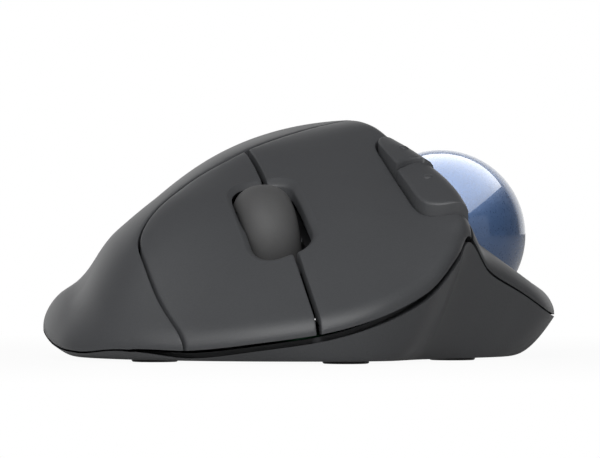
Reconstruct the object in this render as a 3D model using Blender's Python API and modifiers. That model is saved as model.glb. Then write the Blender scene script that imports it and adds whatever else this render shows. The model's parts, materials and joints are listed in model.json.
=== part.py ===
"""Wireless thumb trackball mouse: shells, keys, ball cup, wheel, switches, battery and base.

The frame is in metres: +X is the thumb side, -Y the key end, +Z up, and the feet stand on z = 0.
"""

from math import cos, pi, radians, sin, tan

import bmesh
import bpy
import numpy as np
from mathutils import Matrix, Vector
from mathutils.geometry import delaunay_2d_cdt

# Walls and clearances
WALL = 0.0020
BASE_WALL = 0.0024
FLOOR = 0.0016
SKIRT = 0.0003
LIP_DROP = 0.0005
LIP_ROOM = 0.0009
LIP_LOW = 0.0001
LIP_GAPS = (0.0006, 0.0012)
SEAT = 0.0003
RUN = 0.0001
PANEL_GAP = 0.0005
KEY_GAP = 0.0010
CAP_GAP = 0.0005
TOUCH = 0.00015
STEEPEST = 1.9

# Feet and floor
FOOT_PROUD = 0.0006
FOOT_SUNK = 0.0005
FOOT_RADIUS = 0.0045
FEET = [(-0.0280, -0.0420), (0.0090, -0.0560), (0.0300, -0.0285), (-0.0330, 0.0180), (0.0200, 0.0440)]

# Ball, cup, bearing beads and sensor
BALL_RADIUS = 0.0170
BALL_CENTRE = Vector((0.0284, 0.0060, 0.0242))
CUP_TILT = radians(35)
CUP_GAP = 0.0008
CUP_WALL = 0.0016
RING_LIFT = 0.0025
RING_GAP = 0.0007
SEAT_FLAT = 0.0210
SEAT_FADE = 0.0280
EJECT_RADIUS = 0.0027
EJECT_WALL = 0.0018
BEAD_RADIUS = 0.00125
BEAD_ANGLE = radians(60)
BEAD_TOUCH = 0.00006
SENSOR_DIP = radians(25)
STAY_RADIUS = 0.0019
LENS_RADIUS = 0.0028
LENS_DEPTH = 0.0020
SENSOR_CHIP = Vector((0.0090, 0.0090, 0.0024))
SENSOR_BOARD = Vector((0.0170, 0.0200, 0.0012))

# Key frame: a tilted deck under the keys
DECK_RISE = 0.0355
DECK_TILT = radians(26.57)
DECK = 0.0020
DECK_OUTLINE = [
    (-0.0260, -0.0470), (0.0235, -0.0470), (0.0262, -0.0400), (0.0215, -0.0170), (0.0158, -0.0120),
    (0.0125, -0.0040), (-0.0050, -0.0040), (-0.0158, -0.0070), (-0.0215, -0.0150), (-0.0260, -0.0260),
]
TOWERS = [(-0.0230, -0.0254), (0.0200, -0.0420), (-0.0024, -0.0084)]
TOWER_RADIUS = 0.0031
FRAME_BOSS = 0.0060
FRAME_SCREW = 0.0100

# Key hinges: half length, pin and ears
HINGE_RISE = 0.0026
BARREL_RADIUS = 0.0015
PIN_RADIUS = 0.0010
EAR = 0.0016
LEFT_HINGE = (0.0062, -0.0062)
LEFT_BARREL = 0.0070
RIGHT_HINGE = (-0.0103, -0.0095)
RIGHT_BARREL = 0.0050
RIGHT_ARM = 0.0045
RISER = 0.0024

# Switches under the keys, the wheel and the side buttons
SWITCH = Vector((0.0058, 0.0128, 0.0050))
PLUNGER = Vector((0.0022, 0.0014, 0.0026))
PLUNGER_PROUD = 0.0009
PLUNGER_TRAVEL = 0.0010
POST_RADIUS = 0.0014
LEFT_SWITCH = (0.0126, -0.0400)
RIGHT_SWITCH = (-0.0172, -0.0364)
TACT = Vector((0.0060, 0.0060, 0.0036))
TACT_PLUNGER = 0.0016
TACT_PROUD = 0.0010
FORWARD_SWITCH = (0.0246, -0.0330)
BACK_SWITCH = (0.0192, -0.0180)
PAD_RISE = 0.0024
PAD_RIM = 0.0003

# Scroll wheel and its cradle
WHEEL_PLACE = (-0.0064, -0.0311)
WHEEL_RISE = 0.0025
WHEEL_YAW = radians(12.7)
WHEEL_RADIUS = 0.0122
WHEEL_WIDTH = 0.0108
TYRE = 0.0048
TYRE_CURVE = 2.2
AXLE_RADIUS = 0.0012
CRADLE_INNER = 0.0132
CRADLE_SIDE = 0.0016
CRADLE_HEIGHT = 0.0048
CRADLE_END = 0.0036
WHEEL_ROOM = 0.0012
WELL = Vector((0, 0.040, 0.030))
WHEEL_CLEAR = 0.0007
ENCODER = Vector((0.0038, 0.0100, 0.0090))

# Wheel slot in the keys
SLOT_CENTRE = (-0.0051, -0.0382)
SLOT_YAW = radians(14.2)
SLOT_WIDTH = 0.0120
SLOT_LENGTH = 0.0236
SLOT_CORNER = 0.0045
SLOT_BEVEL = 0.0013

# Side buttons
RIDGE_LIP = 0.0010
CAP_SPLIT = -0.0270
SPLIT_LAP = 0.0060
FORWARD_RAISE = (0.0026, 0.0019)
BACK_RAISE = (0.0030, 0.0006)
CAP_ROUND = 0.0006
CAP_EDGE = 0.0045
CAP_FALL = 0.0026
CAP_DEPTH = 0.0030
STEM_RADIUS = 0.0016

# Main board and what is on it
BOARD = Vector((0.0280, 0.0360, 0.0014))
BOARD_PLACE = (0.0000, -0.0335)
BOARD_RISE = 0.0018
BOARD_POST = 0.0022
CHIP = Vector((0.0070, 0.0070, 0.0010))
CHIP_PLACE = (0.0070, -0.0210)
POWER_PLACE = (0.0060, -0.0300)
POWER_KNOB = Vector((0.0050, 0.0030, 0.0011))
POWER_PLATE = Vector((0.0120, 0.0056, 0.0006))
POWER_TRAVEL = 0.0030

# Battery, its bay and door
CELL_RADIUS = 0.0071
CELL_LENGTH = 0.0495
CELL_NUB = 0.0010
CELL_MIDDLE = (-0.0160, 0.0205)
BAY_GAP = 0.0006
BAY_WALL = 0.0014
BAY_HEIGHT = 0.0090
SPRING_ROOM = 0.0048
SPRING_WIRE = 0.00035
SPRING_TURNS = 4
CONTACT = Vector((0.0090, 0.0004, 0.0090))
DOOR_GAP = 0.0004
TAB = Vector((0.0040, 0.0050, 0.0010))

# Screws from below
SCREWS = [(-0.0370, -0.0060), (-0.0310, 0.0320), (0.0060, 0.0500), (0.0355, -0.0215), (0.0280, 0.0380)]
SCREW_RADIUS = 0.0012
SCREW_HEAD = 0.0024
SCREW_HEAD_HEIGHT = 0.0016
SCREW_LENGTH = 0.0085
SCREW_CUP = 0.0036
SCREW_CUP_WALL = 0.0014
BOSS_RADIUS = 0.0026

# Rim stations: place, edge radius, place of the foot below, gap down to the base
RIM = [
    (0.0045, -0.0670, 0.0023, 0.0040, -0.0653, 0.0015),
    (0.0157, -0.0647, 0.0023, 0.0125, -0.0636, 0.0015),
    (0.0250, -0.0584, 0.0023, 0.0176, -0.0602, 0.0015),
    (0.0302, -0.0515, 0.0023, 0.0203, -0.0552, 0.0015),
    (0.0326, -0.0455, 0.0026, 0.0228, -0.0500, 0.0012),
    (0.0366, -0.0380, 0.0030, 0.0280, -0.0430, 0.0006),
    (0.0436, -0.0280, 0.0030, 0.0350, -0.0355, 0.0004),
    (0.0489, -0.0190, 0.0030, 0.0402, -0.0270, 0.0004),
    (0.0507, -0.0080, 0.0030, 0.0426, -0.0140, 0.0004),
    (0.0502, 0.0060, 0.0030, 0.0426, 0.0030, 0.0004), (0.0478, 0.0220, 0.0030, 0.0406, 0.0195, 0.0004),
    (0.0424, 0.0380, 0.0030, 0.0360, 0.0345, 0.0004), (0.0327, 0.0527, 0.0030, 0.0275, 0.0480, 0.0004),
    (0.0170, 0.0635, 0.0030, 0.0145, 0.0580, 0.0004),
    (-0.0010, 0.0670, 0.0030, -0.0010, 0.0610, 0.0004),
    (-0.0185, 0.0635, 0.0032, -0.0165, 0.0575, 0.0004),
    (-0.0333, 0.0535, 0.0036, -0.0290, 0.0480, 0.0004),
    (-0.0436, 0.0375, 0.0040, -0.0378, 0.0335, 0.0004),
    (-0.0488, 0.0190, 0.0042, -0.0425, 0.0170, 0.0004),
    (-0.0506, 0.0000, 0.0042, -0.0442, -0.0010, 0.0004),
    (-0.0504, -0.0160, 0.0042, -0.0445, -0.0170, 0.0004),
    (-0.0480, -0.0305, 0.0040, -0.0428, -0.0310, 0.0004),
    (-0.0434, -0.0420, 0.0034, -0.0385, -0.0415, 0.0004),
    (-0.0340, -0.0530, 0.0024, -0.0310, -0.0515, 0.0004),
    (-0.0218, -0.0615, 0.0020, -0.0200, -0.0598, 0.0015),
    (-0.0094, -0.0659, 0.0022, -0.0086, -0.0640, 0.0015),
]

# Heights that the crown of the body passes through
CROWN = [
    (-0.0340, -0.0530, 0.0050), (-0.0218, -0.0615, 0.0049), (-0.0094, -0.0659, 0.0064),
    (0.0045, -0.0670, 0.0085), (0.0157, -0.0647, 0.0117), (0.0250, -0.0584, 0.0165),
    (0.0302, -0.0515, 0.0225), (0.0324, -0.0460, 0.0265), (-0.0432, -0.0420, 0.0060),
    (-0.0268, -0.0520, 0.0122), (-0.0299, -0.0440, 0.0194), (-0.0310, -0.0380, 0.0236),
    (-0.0282, -0.0305, 0.0292), (-0.0195, -0.0185, 0.0362), (-0.0103, -0.0110, 0.0412),
    (0.0062, 0.0030, 0.0465), (-0.0004, -0.0510, 0.0208), (-0.0110, -0.0390, 0.0280),
    (0.0030, -0.0390, 0.0295), (0.0150, -0.0420, 0.0284), (0.0226, -0.0400, 0.0289),
    (0.0290, -0.0410, 0.0287), (-0.0065, -0.0260, 0.0350), (0.0080, -0.0270, 0.0362),
    (0.0190, -0.0270, 0.0354), (0.0270, -0.0270, 0.0360), (0.0152, -0.0140, 0.0422),
    (0.0215, -0.0160, 0.0414), (0.0160, -0.0050, 0.0462), (0.0310, -0.0360, 0.0318),
    (0.0110, 0.0040, 0.0472), (0.0090, 0.0120, 0.0470), (0.0040, 0.0200, 0.0458),
    (0.0000, 0.0320, 0.0425), (-0.0347, -0.0030, 0.0262), (-0.0297, -0.0010, 0.0304),
    (-0.0198, 0.0020, 0.0382), (-0.0098, 0.0050, 0.0430), (-0.0360, 0.0220, 0.0240),
    (-0.0250, 0.0260, 0.0335), (0.0130, 0.0320, 0.0400), (0.0000, 0.0480, 0.0335),
    (-0.0200, 0.0440, 0.0280), (0.0180, 0.0460, 0.0285), (0.0000, 0.0590, 0.0215),
    (-0.0290, 0.0460, 0.0190), (0.0270, 0.0460, 0.0195), (-0.0010, 0.0670, 0.0090),
    (-0.0185, 0.0635, 0.0090), (0.0170, 0.0635, 0.0090), (-0.0330, 0.0535, 0.0093),
    (0.0325, 0.0525, 0.0095),
]

# Heights of the thumb wing and the pinky ledge
FLANGE = [
    (-0.0504, -0.0160, 0.0100), (-0.0446, -0.0120, 0.0144), (-0.0405, -0.0120, 0.0168),
    (-0.0480, -0.0305, 0.0076), (-0.0428, -0.0290, 0.0110), (-0.0434, -0.0420, 0.0058),
    (-0.0375, -0.0400, 0.0085), (-0.0340, -0.0530, 0.0044), (-0.0218, -0.0615, 0.0020),
    (-0.0506, 0.0000, 0.0107), (-0.0484, 0.0000, 0.0121), (-0.0445, 0.0000, 0.0147),
    (-0.0414, 0.0000, 0.0164), (-0.0488, 0.0190, 0.0106), (-0.0430, 0.0180, 0.0140),
    (-0.0436, 0.0375, 0.0098), (-0.0384, 0.0340, 0.0125), (-0.0333, 0.0535, 0.0085),
    (-0.0010, 0.0670, 0.0075), (0.0170, 0.0635, 0.0080), (0.0327, 0.0527, 0.0095),
    (0.0424, 0.0380, 0.0108), (0.0478, 0.0220, 0.0124), (0.0502, 0.0060, 0.0121),
    (0.0507, -0.0080, 0.0118), (0.0489, -0.0190, 0.0129), (0.0436, -0.0280, 0.0167),
    (0.0366, -0.0380, 0.0216), (0.0326, -0.0455, 0.0266), (0.0330, -0.0300, 0.0243),
    (0.0320, 0.0400, 0.0175), (0.0240, 0.0440, 0.0190), (0.0440, 0.0060, 0.0164),
    (0.0299, 0.0060, 0.0262), (0.0157, 0.0060, 0.0362), (0.0370, -0.0140, 0.0213),
    (0.0220, -0.0090, 0.0318), (0.0300, 0.0240, 0.0255), (0.0200, 0.0180, 0.0330),
    (0.0045, -0.0670, -0.0100), (0.0300, -0.0515, 0.0150),
]

# Ridge lines where the crown falls to the thumb wing and to the pinky ledge
THUMB_RIDGE = [
    (0.0330, -0.0600), (0.0333, -0.0520), (0.0330, -0.0460), (0.0320, -0.0405), (0.0306, -0.0355),
    (0.0286, -0.0300), (0.0260, -0.0245), (0.0234, -0.0195), (0.0204, -0.0140), (0.0170, -0.0075),
    (0.0140, -0.0015), (0.0116, 0.0050), (0.0110, 0.0130), (0.0126, 0.0220), (0.0158, 0.0320),
    (0.0180, 0.0420), (0.0180, 0.0520), (0.0150, 0.0660), (0.0130, 0.0740),
]
PINKY_RIDGE = [
    (-0.0200, 0.0600), (-0.0330, 0.0430), (-0.0375, 0.0240), (-0.0386, 0.0050), (-0.0386, -0.0080),
    (-0.0382, -0.0250), (-0.0370, -0.0400), (-0.0330, -0.0520),
]
THUMB_EDGE = 0.0016
PINKY_EDGE = 0.0025
THUMB_FALL = ((0, 0.1, 0.2, 0.5, 0.7, 1), (1.2, 2.2, 3.2, 3.2, 1.4, 0.2))
PINKY_FALL = ((0, 0.3, 0.75, 1), (0.1, 0.9, 0.9, 0.1))
BLEND = 0.0030

# Seams: keys against palm, key against key, notch of the side buttons, and the line between those
PALM_SEAM = [
    (-0.0196, -0.0670), (-0.0218, -0.0615), (-0.0268, -0.0520), (-0.0299, -0.0440), (-0.0311, -0.0385),
    (-0.0303, -0.0345), (-0.0282, -0.0305), (-0.0244, -0.0250), (-0.0195, -0.0185), (-0.0103, -0.0110),
    (-0.0010, -0.0035), (0.0062, 0.0022), (0.0110, 0.0050), (0.0160, 0.0070),
]
KEY_SEAM = [
    (0.0046, -0.0700), (0.0036, -0.0660), (-0.0004, -0.0510), (-0.0037, -0.0385), (-0.0067, -0.0260),
    (-0.0112, -0.0080),
]
NOTCH = [
    (0.0370, -0.0412), (0.0320, -0.0416), (0.0276, -0.0420), (0.0245, -0.0410), (0.0224, -0.0382),
    (0.0208, -0.0335), (0.0190, -0.0275), (0.0170, -0.0215), (0.0153, -0.0158), (0.0154, -0.0128),
    (0.0172, -0.0113), (0.0240, -0.0085),
]
CAP_SEAM = [
    (0.0360, -0.0240), (0.0270, -0.0240), (0.0228, -0.0242), (0.0196, -0.0262), (0.0150, -0.0300),
]

# Mesh steps and the least distance of a feature line from an outline
LINE_MARGIN = 0.0008
PITCH = 0.0074
RIM_STEPS = 2
BALL_SIDES = 26
CUP_SIDES = 20
WHEEL_SIDES = 22

ROUND = 20
IDENTITY = Matrix.Identity(4)
FLOOR_TOP = FOOT_PROUD + FLOOR
CUP_INNER = BALL_RADIUS + CUP_GAP
CUP_OUTER = CUP_INNER + CUP_WALL
CUP_FRAME = Matrix.Translation(BALL_CENTRE) @ Matrix.Rotation(CUP_TILT, 4, "Y")
RING_CENTRE = CUP_FRAME @ Vector((0, 0, RING_LIFT))
CUP_TOP = RING_LIFT - WALL - SEAT
DECK_FRAME = Matrix.Translation((0, 0, DECK_RISE)) @ Matrix.Rotation(DECK_TILT, 4, "X")
BOARD_TOP = FLOOR_TOP + BOARD_RISE + BOARD.z


def on_deck(place, lift=0.0, turn=0.0):
    """Frame on the deck's top above a plan place."""
    local = Matrix.Translation((place[0], place[1] / cos(DECK_TILT), lift))
    return DECK_FRAME @ local @ Matrix.Rotation(turn, 4, "Z")


WHEEL_FRAME = on_deck(WHEEL_PLACE, WHEEL_RISE, WHEEL_YAW)
AXLE_FRAME = WHEEL_FRAME @ Matrix.Rotation(pi / 2, 4, "Y")


# Curves and height fields

def catmull(points, per, closed=False):
    """Smooth curve through points, with a number of steps between neighbours."""
    p = np.asarray(points, float)
    p = np.vstack([p[-1:], p, p[:2]]) if closed else np.vstack([2 * p[0] - p[1], p, 2 * p[-1] - p[-2]])
    t = np.arange(per)[:, None] / per
    runs = []
    for a, b, c, d in zip(p, p[1:], p[2:], p[3:]):
        runs.append(b + 0.5 * t * (c - a + t * (2 * a - 5 * b + 4 * c - d + t * (3 * (b - c) + d - a))))
    if not closed:
        runs.append(p[-2:-1])
    return np.vstack(runs)


def thin_plate(points):
    """Smoothest height field through points."""
    p = np.asarray(points, float)

    def kernel(x, y):
        r2 = (np.ravel(x)[:, None] - p[:, 0]) ** 2 + (np.ravel(y)[:, None] - p[:, 1]) ** 2
        return r2 * np.log(r2 + 1e-14)

    def flat(x, y):
        return np.column_stack([np.ones(np.size(x)), np.ravel(x), np.ravel(y)])

    side = flat(p[:, 0], p[:, 1])
    system = np.block([[kernel(p[:, 0], p[:, 1]), side], [side.T, np.zeros((3, 3))]])
    weight = np.linalg.solve(system, np.append(p[:, 2], np.zeros(3)))
    return lambda x, y: kernel(x, y) @ weight[:-3] + flat(x, y) @ weight[-3:]


def nearest(path, x, y):
    """Distance to a path, positive on its left, and the share of the way along it."""
    start = path[:-1, :2]
    step = np.diff(path[:, :2], axis=0)
    length = np.hypot(step[:, 0], step[:, 1])
    along = np.append(0, np.cumsum(length))
    offset = np.column_stack([np.ravel(x), np.ravel(y)])[:, None] - start
    part = np.clip((offset * step).sum(2) / length ** 2, 0, 1)
    away = offset - part[..., None] * step
    distance = np.hypot(away[..., 0], away[..., 1])
    k = distance.argmin(1)
    i = np.arange(len(k))
    side = np.where(step[k, 0] * offset[i, k, 1] < step[k, 1] * offset[i, k, 0], -1, 1)
    return side * distance[i, k], (along[k] + part[i, k] * length[k]) / along[-1]


def smooth_max(a, b, k):
    """The larger of two heights, blended where they are close."""
    h = np.clip(0.5 + 0.5 * (a - b) / k, 0, 1)
    return b + (a - b) * h + k * h * (1 - h)


def soft_ramp(d, r):
    """Zero below -r, d above r, with a round bend between."""
    return np.where(d < -r, 0, np.where(d > r, d, (d + r) ** 2 / (4 * r)))


def smooth_step(t):
    """Zero to one with level ends."""
    t = np.clip(t, 0, 1)
    return t * t * (3 - 2 * t)


def rounding(d, r):
    """How far a round edge has dropped at distance d from it."""
    t = np.clip(1 - d / r, 0, 1)
    return r * (1 - np.sqrt(1 - t * t))


def shifted(path, distance):
    """Path moved sideways, to its left."""
    step = np.gradient(path[:, :2], axis=0)
    normal = np.column_stack([-step[:, 1], step[:, 0]]) / np.hypot(step[:, 0], step[:, 1])[:, None]
    return path[:, :2] + np.reshape(distance, (-1, 1)) * normal


def loop_normals(loop):
    """Inward unit normals of a closed outline that runs to the left."""
    step = np.roll(loop, -1, 0) - np.roll(loop, 1, 0)
    return np.column_stack([-step[:, 1], step[:, 0]]) / np.hypot(step[:, 0], step[:, 1])[:, None]


def rounded_slot():
    """Outline of the wheel slot, running to the left."""
    reach = np.array([SLOT_WIDTH / 2 - SLOT_CORNER, SLOT_LENGTH / 2 - SLOT_CORNER])
    turn = np.array([[cos(SLOT_YAW), -sin(SLOT_YAW)], [sin(SLOT_YAW), cos(SLOT_YAW)]])
    points = []
    for quarter, signs in enumerate([(1, 1), (-1, 1), (-1, -1), (1, -1)]):
        for angle in np.linspace(0, pi / 2, 5) + quarter * pi / 2:
            points.append(reach * signs + SLOT_CORNER * np.array([cos(angle), sin(angle)]))
    return np.array(points) @ turn.T + SLOT_CENTRE


crown = thin_plate(CROWN)
flange = thin_plate(FLANGE)
THUMB_LINE = catmull(THUMB_RIDGE, 2)
PINKY_LINE = catmull(PINKY_RIDGE, 2)
RIM_LINE = catmull(RIM, RIM_STEPS, closed=True)
RIM_LOOP = np.vstack([RIM_LINE, RIM_LINE[:1]])
SLOT_LOOP = rounded_slot()
SLOT_RING = np.vstack([SLOT_LOOP, SLOT_LOOP[:1]])


def thumb_face(x, y):
    """Height of the wing and ledge, flattened to a tilted plane around the ball."""
    plane = RING_CENTRE.z - tan(CUP_TILT) * (x - RING_CENTRE.x)
    away = np.hypot((x - RING_CENTRE.x) / cos(CUP_TILT), y - RING_CENTRE.y)
    flat = smooth_step((SEAT_FADE - away) / (SEAT_FADE - SEAT_FLAT))
    return flange(x, y) * (1 - flat) + plane * flat


def skin(x, y):
    """Height of the body before its edges are rounded."""
    thumb, thumb_share = nearest(THUMB_LINE, x, y)
    pinky, pinky_share = nearest(PINKY_LINE, x, y)
    top = crown(x, y)
    top = top - np.interp(thumb_share, *THUMB_FALL) * soft_ramp(-thumb, THUMB_EDGE)
    top = top - np.interp(pinky_share, *PINKY_FALL) * soft_ramp(-pinky, PINKY_EDGE)
    return smooth_max(top, thumb_face(np.ravel(x), np.ravel(y)), BLEND)


RIM_SEAM = skin(RIM_LOOP[:, 0], RIM_LOOP[:, 1]) - RIM_LOOP[:, 2] - SKIRT


def rim_at(x, y):
    """Distance inside the rim, with the edge radius and the seam height of the nearest rim."""
    distance, share = nearest(RIM_LOOP, x, y)
    step = np.hypot(*np.diff(RIM_LOOP[:, :2], axis=0).T)
    shares = np.append(0, np.cumsum(step)) / step.sum()
    return distance, np.interp(share, shares, RIM_LOOP[:, 2]), np.interp(share, shares, RIM_SEAM)


def outer(x, y):
    """Outside height of the shells, with the round rim and the bevelled wheel slot."""
    distance, radius, _ = rim_at(x, y)
    slot = -nearest(SLOT_RING, x, y)[0]
    return skin(x, y) - rounding(distance, radius) - np.clip(SLOT_BEVEL - np.abs(slot), 0, None) * 0.7


def inner(x, y):
    """Inside height of the shells, with a skirt along the rim."""
    h = 0.0002
    slope_x = (skin(x + h, y) - skin(x - h, y)) / (2 * h)
    slope_y = (skin(x, y + h) - skin(x, y - h)) / (2 * h)
    thick = WALL * np.minimum(np.sqrt(1 + slope_x ** 2 + slope_y ** 2), STEEPEST)
    distance, _, seam = rim_at(x, y)
    return np.where(distance < WALL + 1e-5, seam, outer(x, y) - thick)


# Plan outlines

def crossing(a, b):
    """Where path a last meets path b: place along each, and the point."""
    p, r = a[:-1, None, :2], np.diff(a[:, :2], axis=0)[:, None]
    q, s = b[None, :-1, :2], np.diff(b[:, :2], axis=0)[None]
    cross = r[..., 0] * s[..., 1] - r[..., 1] * s[..., 0]
    cross = np.where(np.abs(cross) < 1e-15, 1e-15, cross)
    gap = q - p
    t = (gap[..., 0] * s[..., 1] - gap[..., 1] * s[..., 0]) / cross
    u = (gap[..., 0] * r[..., 1] - gap[..., 1] * r[..., 0]) / cross
    i, j = np.argwhere((t >= 0) & (t < 1) & (u >= 0) & (u < 1))[-1]
    return i + t[i, j], j + u[i, j], a[i, :2] + t[i, j] * np.diff(a[:, :2], axis=0)[i]


def outline(*paths):
    """Closed outline from paths that each meet the next, running to the left."""
    paths = [np.asarray(path)[:, :2] for path in paths]
    meets = [crossing(a, b) for a, b in zip(paths, paths[1:] + paths[:1])]
    loop = []
    for path, before, after in zip(paths, meets[-1:] + meets[:-1], meets):
        loop.append(before[2])
        loop.extend(path[int(before[1]) + 1:int(np.ceil(after[0]))])
    loop = np.array(loop)
    keep = np.hypot(*(loop - np.roll(loop, 1, 0)).T) > 0.0003
    return loop[keep]


def rim_run(start, end):
    """Stretch of the rim that runs past two plan places."""
    first = np.hypot(*(RIM_LINE[:, :2] - start).T).argmin() - 3
    last = np.hypot(*(RIM_LINE[:, :2] - end).T).argmin() + 3
    count = (last - first) % len(RIM_LINE)
    return RIM_LINE[(first + np.arange(count + 1)) % len(RIM_LINE), :2]


def split_at(path, y, lap=SPLIT_LAP):
    """The front and rear stretches of a path that runs rearwards, lapping a little."""
    return path[path[:, 1] < y + lap], path[path[:, 1] > y - lap]


def half_loop(loop, start):
    """Half of a closed outline and a little more, run backwards to a start."""
    count = len(loop) // 2 + 5
    return loop[(start - 2 + np.arange(count)) % len(loop)][::-1]


def seam_paths():
    """Edges of the panels, each moved half a gap to its own side."""
    palm = catmull(PALM_SEAM, 3)
    key = catmull(KEY_SEAM, 3)
    lip = shifted(THUMB_LINE, -RIDGE_LIP)
    notch = catmull(NOTCH, 3)
    return {
        "palm": shifted(palm, PANEL_GAP / 2), "palm_key": shifted(palm, -PANEL_GAP / 2)[::-1],
        "right": shifted(key, KEY_GAP / 2), "left": shifted(key, -KEY_GAP / 2)[::-1],
        "lip": shifted(lip, PANEL_GAP / 2), "wing": shifted(lip, -PANEL_GAP / 2)[::-1],
        "notch": notch, "cap": shifted(notch, -CAP_GAP)[::-1],
        "forward": shifted(catmull(CAP_SEAM, 3), CAP_GAP / 2),
        "back": shifted(catmull(CAP_SEAM, 3), -CAP_GAP / 2)[::-1],
    }


def panel_outlines():
    """Plan outlines of the shells and of the side buttons."""
    s = seam_paths()
    lip_front, lip_rear = split_at(s["lip"], CAP_SPLIT)
    cap_front, cap_rear = (path[::-1] for path in split_at(s["cap"][::-1], CAP_SPLIT))
    right_front, right_rear = split_at(s["right"], SLOT_CENTRE[1])
    left_front, left_rear = (path[::-1] for path in split_at(s["left"][::-1], SLOT_CENTRE[1]))
    slot_left = half_loop(SLOT_LOOP, SLOT_LOOP[:, 1].argmax())
    slot_right = half_loop(SLOT_LOOP, SLOT_LOOP[:, 1].argmin())
    palm_rim = rim_run(THUMB_RIDGE[-2], PALM_SEAM[1])
    right_rim = rim_run(PALM_SEAM[1], KEY_SEAM[1])
    left_rim = rim_run(KEY_SEAM[1], THUMB_RIDGE[2])
    wing_rim = rim_run(THUMB_RIDGE[2], THUMB_RIDGE[-2])
    return {
        "palm_shell": outline(palm_rim, s["palm"], s["lip"]),
        "right_key": outline(right_rim, right_front, slot_left, right_rear, s["palm_key"]),
        "left_key": outline(left_rim, lip_front, s["notch"], lip_rear, s["palm_key"], left_rear, slot_right,
                            left_front),
        "thumb_panel": outline(wing_rim, s["wing"]),
        "forward_button": outline(lip_front, s["forward"], cap_front),
        "back_button": outline(lip_rear, cap_rear, s["back"]),
    }


def plan_mesh(loop, features, pitch):
    """Triangles that fill an outline, with points along its features and on a grid."""
    ring = np.vstack([loop, loop[:1]])
    points = [tuple(p) for p in loop]
    links = [(i, (i + 1) % len(loop)) for i in range(len(loop))]
    for path, margin in features:
        inside = nearest(ring, path[:, 0], path[:, 1])[0] > margin
        previous = None
        for place, kept in zip(path, inside):
            if kept:
                points.append(tuple(place[:2]))
                if previous is not None:
                    links.append((previous, len(points) - 1))
            previous = len(points) - 1 if kept else None
    low, high = loop.min(0), loop.max(0)
    grid = []
    for row, y in enumerate(np.arange(low[1], high[1], pitch * 0.87)):
        for x in np.arange(low[0] + (row % 2) * pitch / 2, high[0], pitch):
            grid.append((x, y))
    grid = np.array(grid)
    grid = grid[nearest(ring, grid[:, 0], grid[:, 1])[0] > pitch * 0.5]
    taken = np.array(points)
    for place in grid:
        if np.hypot(*(taken - place).T).min() > pitch * 0.6:
            points.append(tuple(place))
    flat = [Vector(p) for p in points]
    verts, _, faces, *_ = delaunay_2d_cdt(flat, links, [], 1, 1e-7)
    return np.array([tuple(v) for v in verts]), [tuple(f) for f in faces]


def shell_features():
    """Lines that the shells' triangles follow: round rim, skirt, slot bevel and ridges."""
    radius = RIM_LOOP[:, 2]
    depths = [radius * 0.14, radius * 0.5, np.full_like(radius, WALL), np.full_like(radius, WALL * 1.12)]
    normal = np.vstack([loop_normals(RIM_LINE[:, :2]), loop_normals(RIM_LINE[:, :2])[:1]])
    lines = []
    for depth in depths:
        lines.append((RIM_LOOP[:, :2] + depth[:, None] * normal, min(LINE_MARGIN, depth.min() * 0.9)))
    around = np.vstack([loop_normals(SLOT_LOOP)] * 2)[:len(SLOT_RING)]
    lines.append((SLOT_RING - SLOT_BEVEL * around, LINE_MARGIN))
    for side in (1.0, 0.0, -0.6, -2.6):
        lines.append((shifted(THUMB_LINE, side * THUMB_EDGE), LINE_MARGIN))
    for side in (1.0, 0.0, -1.0):
        lines.append((shifted(PINKY_LINE, side * PINKY_EDGE), LINE_MARGIN))
    return lines


# Building blocks

def new_collection(name):
    """Collection linked to the scene."""
    collection = bpy.data.collections.new(name)
    bpy.context.scene.collection.children.link(collection)
    return collection


def add_object(name, bm, frame=IDENTITY, collection=None):
    """Object from a bmesh whose points are in the frame's own axes."""
    mesh = bpy.data.meshes.new(name)
    bm.to_mesh(mesh)
    bm.free()
    mesh.shade_smooth()
    mesh.set_sharp_from_angle(angle=radians(35))
    obj = bpy.data.objects.new(name, mesh)
    (collection or PARTS).objects.link(obj)
    obj.matrix_world = frame
    return obj


def box(name, size, frame=IDENTITY, collection=None):
    """Box centred on its frame."""
    bm = bmesh.new()
    bmesh.ops.create_cube(bm, size=1)
    bmesh.ops.scale(bm, vec=Vector(size), verts=bm.verts)
    return add_object(name, bm, frame, collection)


def rod(name, radius, length, frame=IDENTITY, sides=ROUND, collection=None):
    """Round bar along its frame's Z, centred."""
    bm = bmesh.new()
    bmesh.ops.create_cone(bm, cap_ends=True, segments=sides, radius1=radius, radius2=radius, depth=length)
    return add_object(name, bm, frame, collection)


def ball(name, radius, frame, sides, collection=None):
    """Sphere centred on its frame."""
    bm = bmesh.new()
    bmesh.ops.create_uvsphere(bm, u_segments=sides, v_segments=sides // 2, radius=radius)
    return add_object(name, bm, frame, collection)


def turned(name, profile, frame=IDENTITY, sides=ROUND, collection=None):
    """Turned piece about its frame's Z, from a profile that runs down its outer side."""
    bm = bmesh.new()
    verts = [bm.verts.new((x, 0, z)) for x, z in profile]
    for a, b in zip(verts, verts[1:]):
        if a.co.x > 0 or b.co.x > 0:
            bm.edges.new((a, b))
    if profile[0][0] > 0 and profile[-1][0] > 0:
        bm.edges.new((verts[-1], verts[0]))
    obj = add_object(name, bm, frame, collection)
    screw = obj.modifiers.new("turn", "SCREW")
    screw.steps = sides
    screw.render_steps = sides
    screw.use_merge_vertices = True
    screw.merge_threshold = 1e-6
    screw.use_smooth_shade = True
    return obj


def soften(obj, width, segments=1):
    """Small bevel on every sharp edge."""
    bevel = obj.modifiers.new("bevel", "BEVEL")
    bevel.width = width
    bevel.segments = segments
    bevel.limit_method = "ANGLE"
    bevel.angle_limit = radians(40)
    return obj


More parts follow.
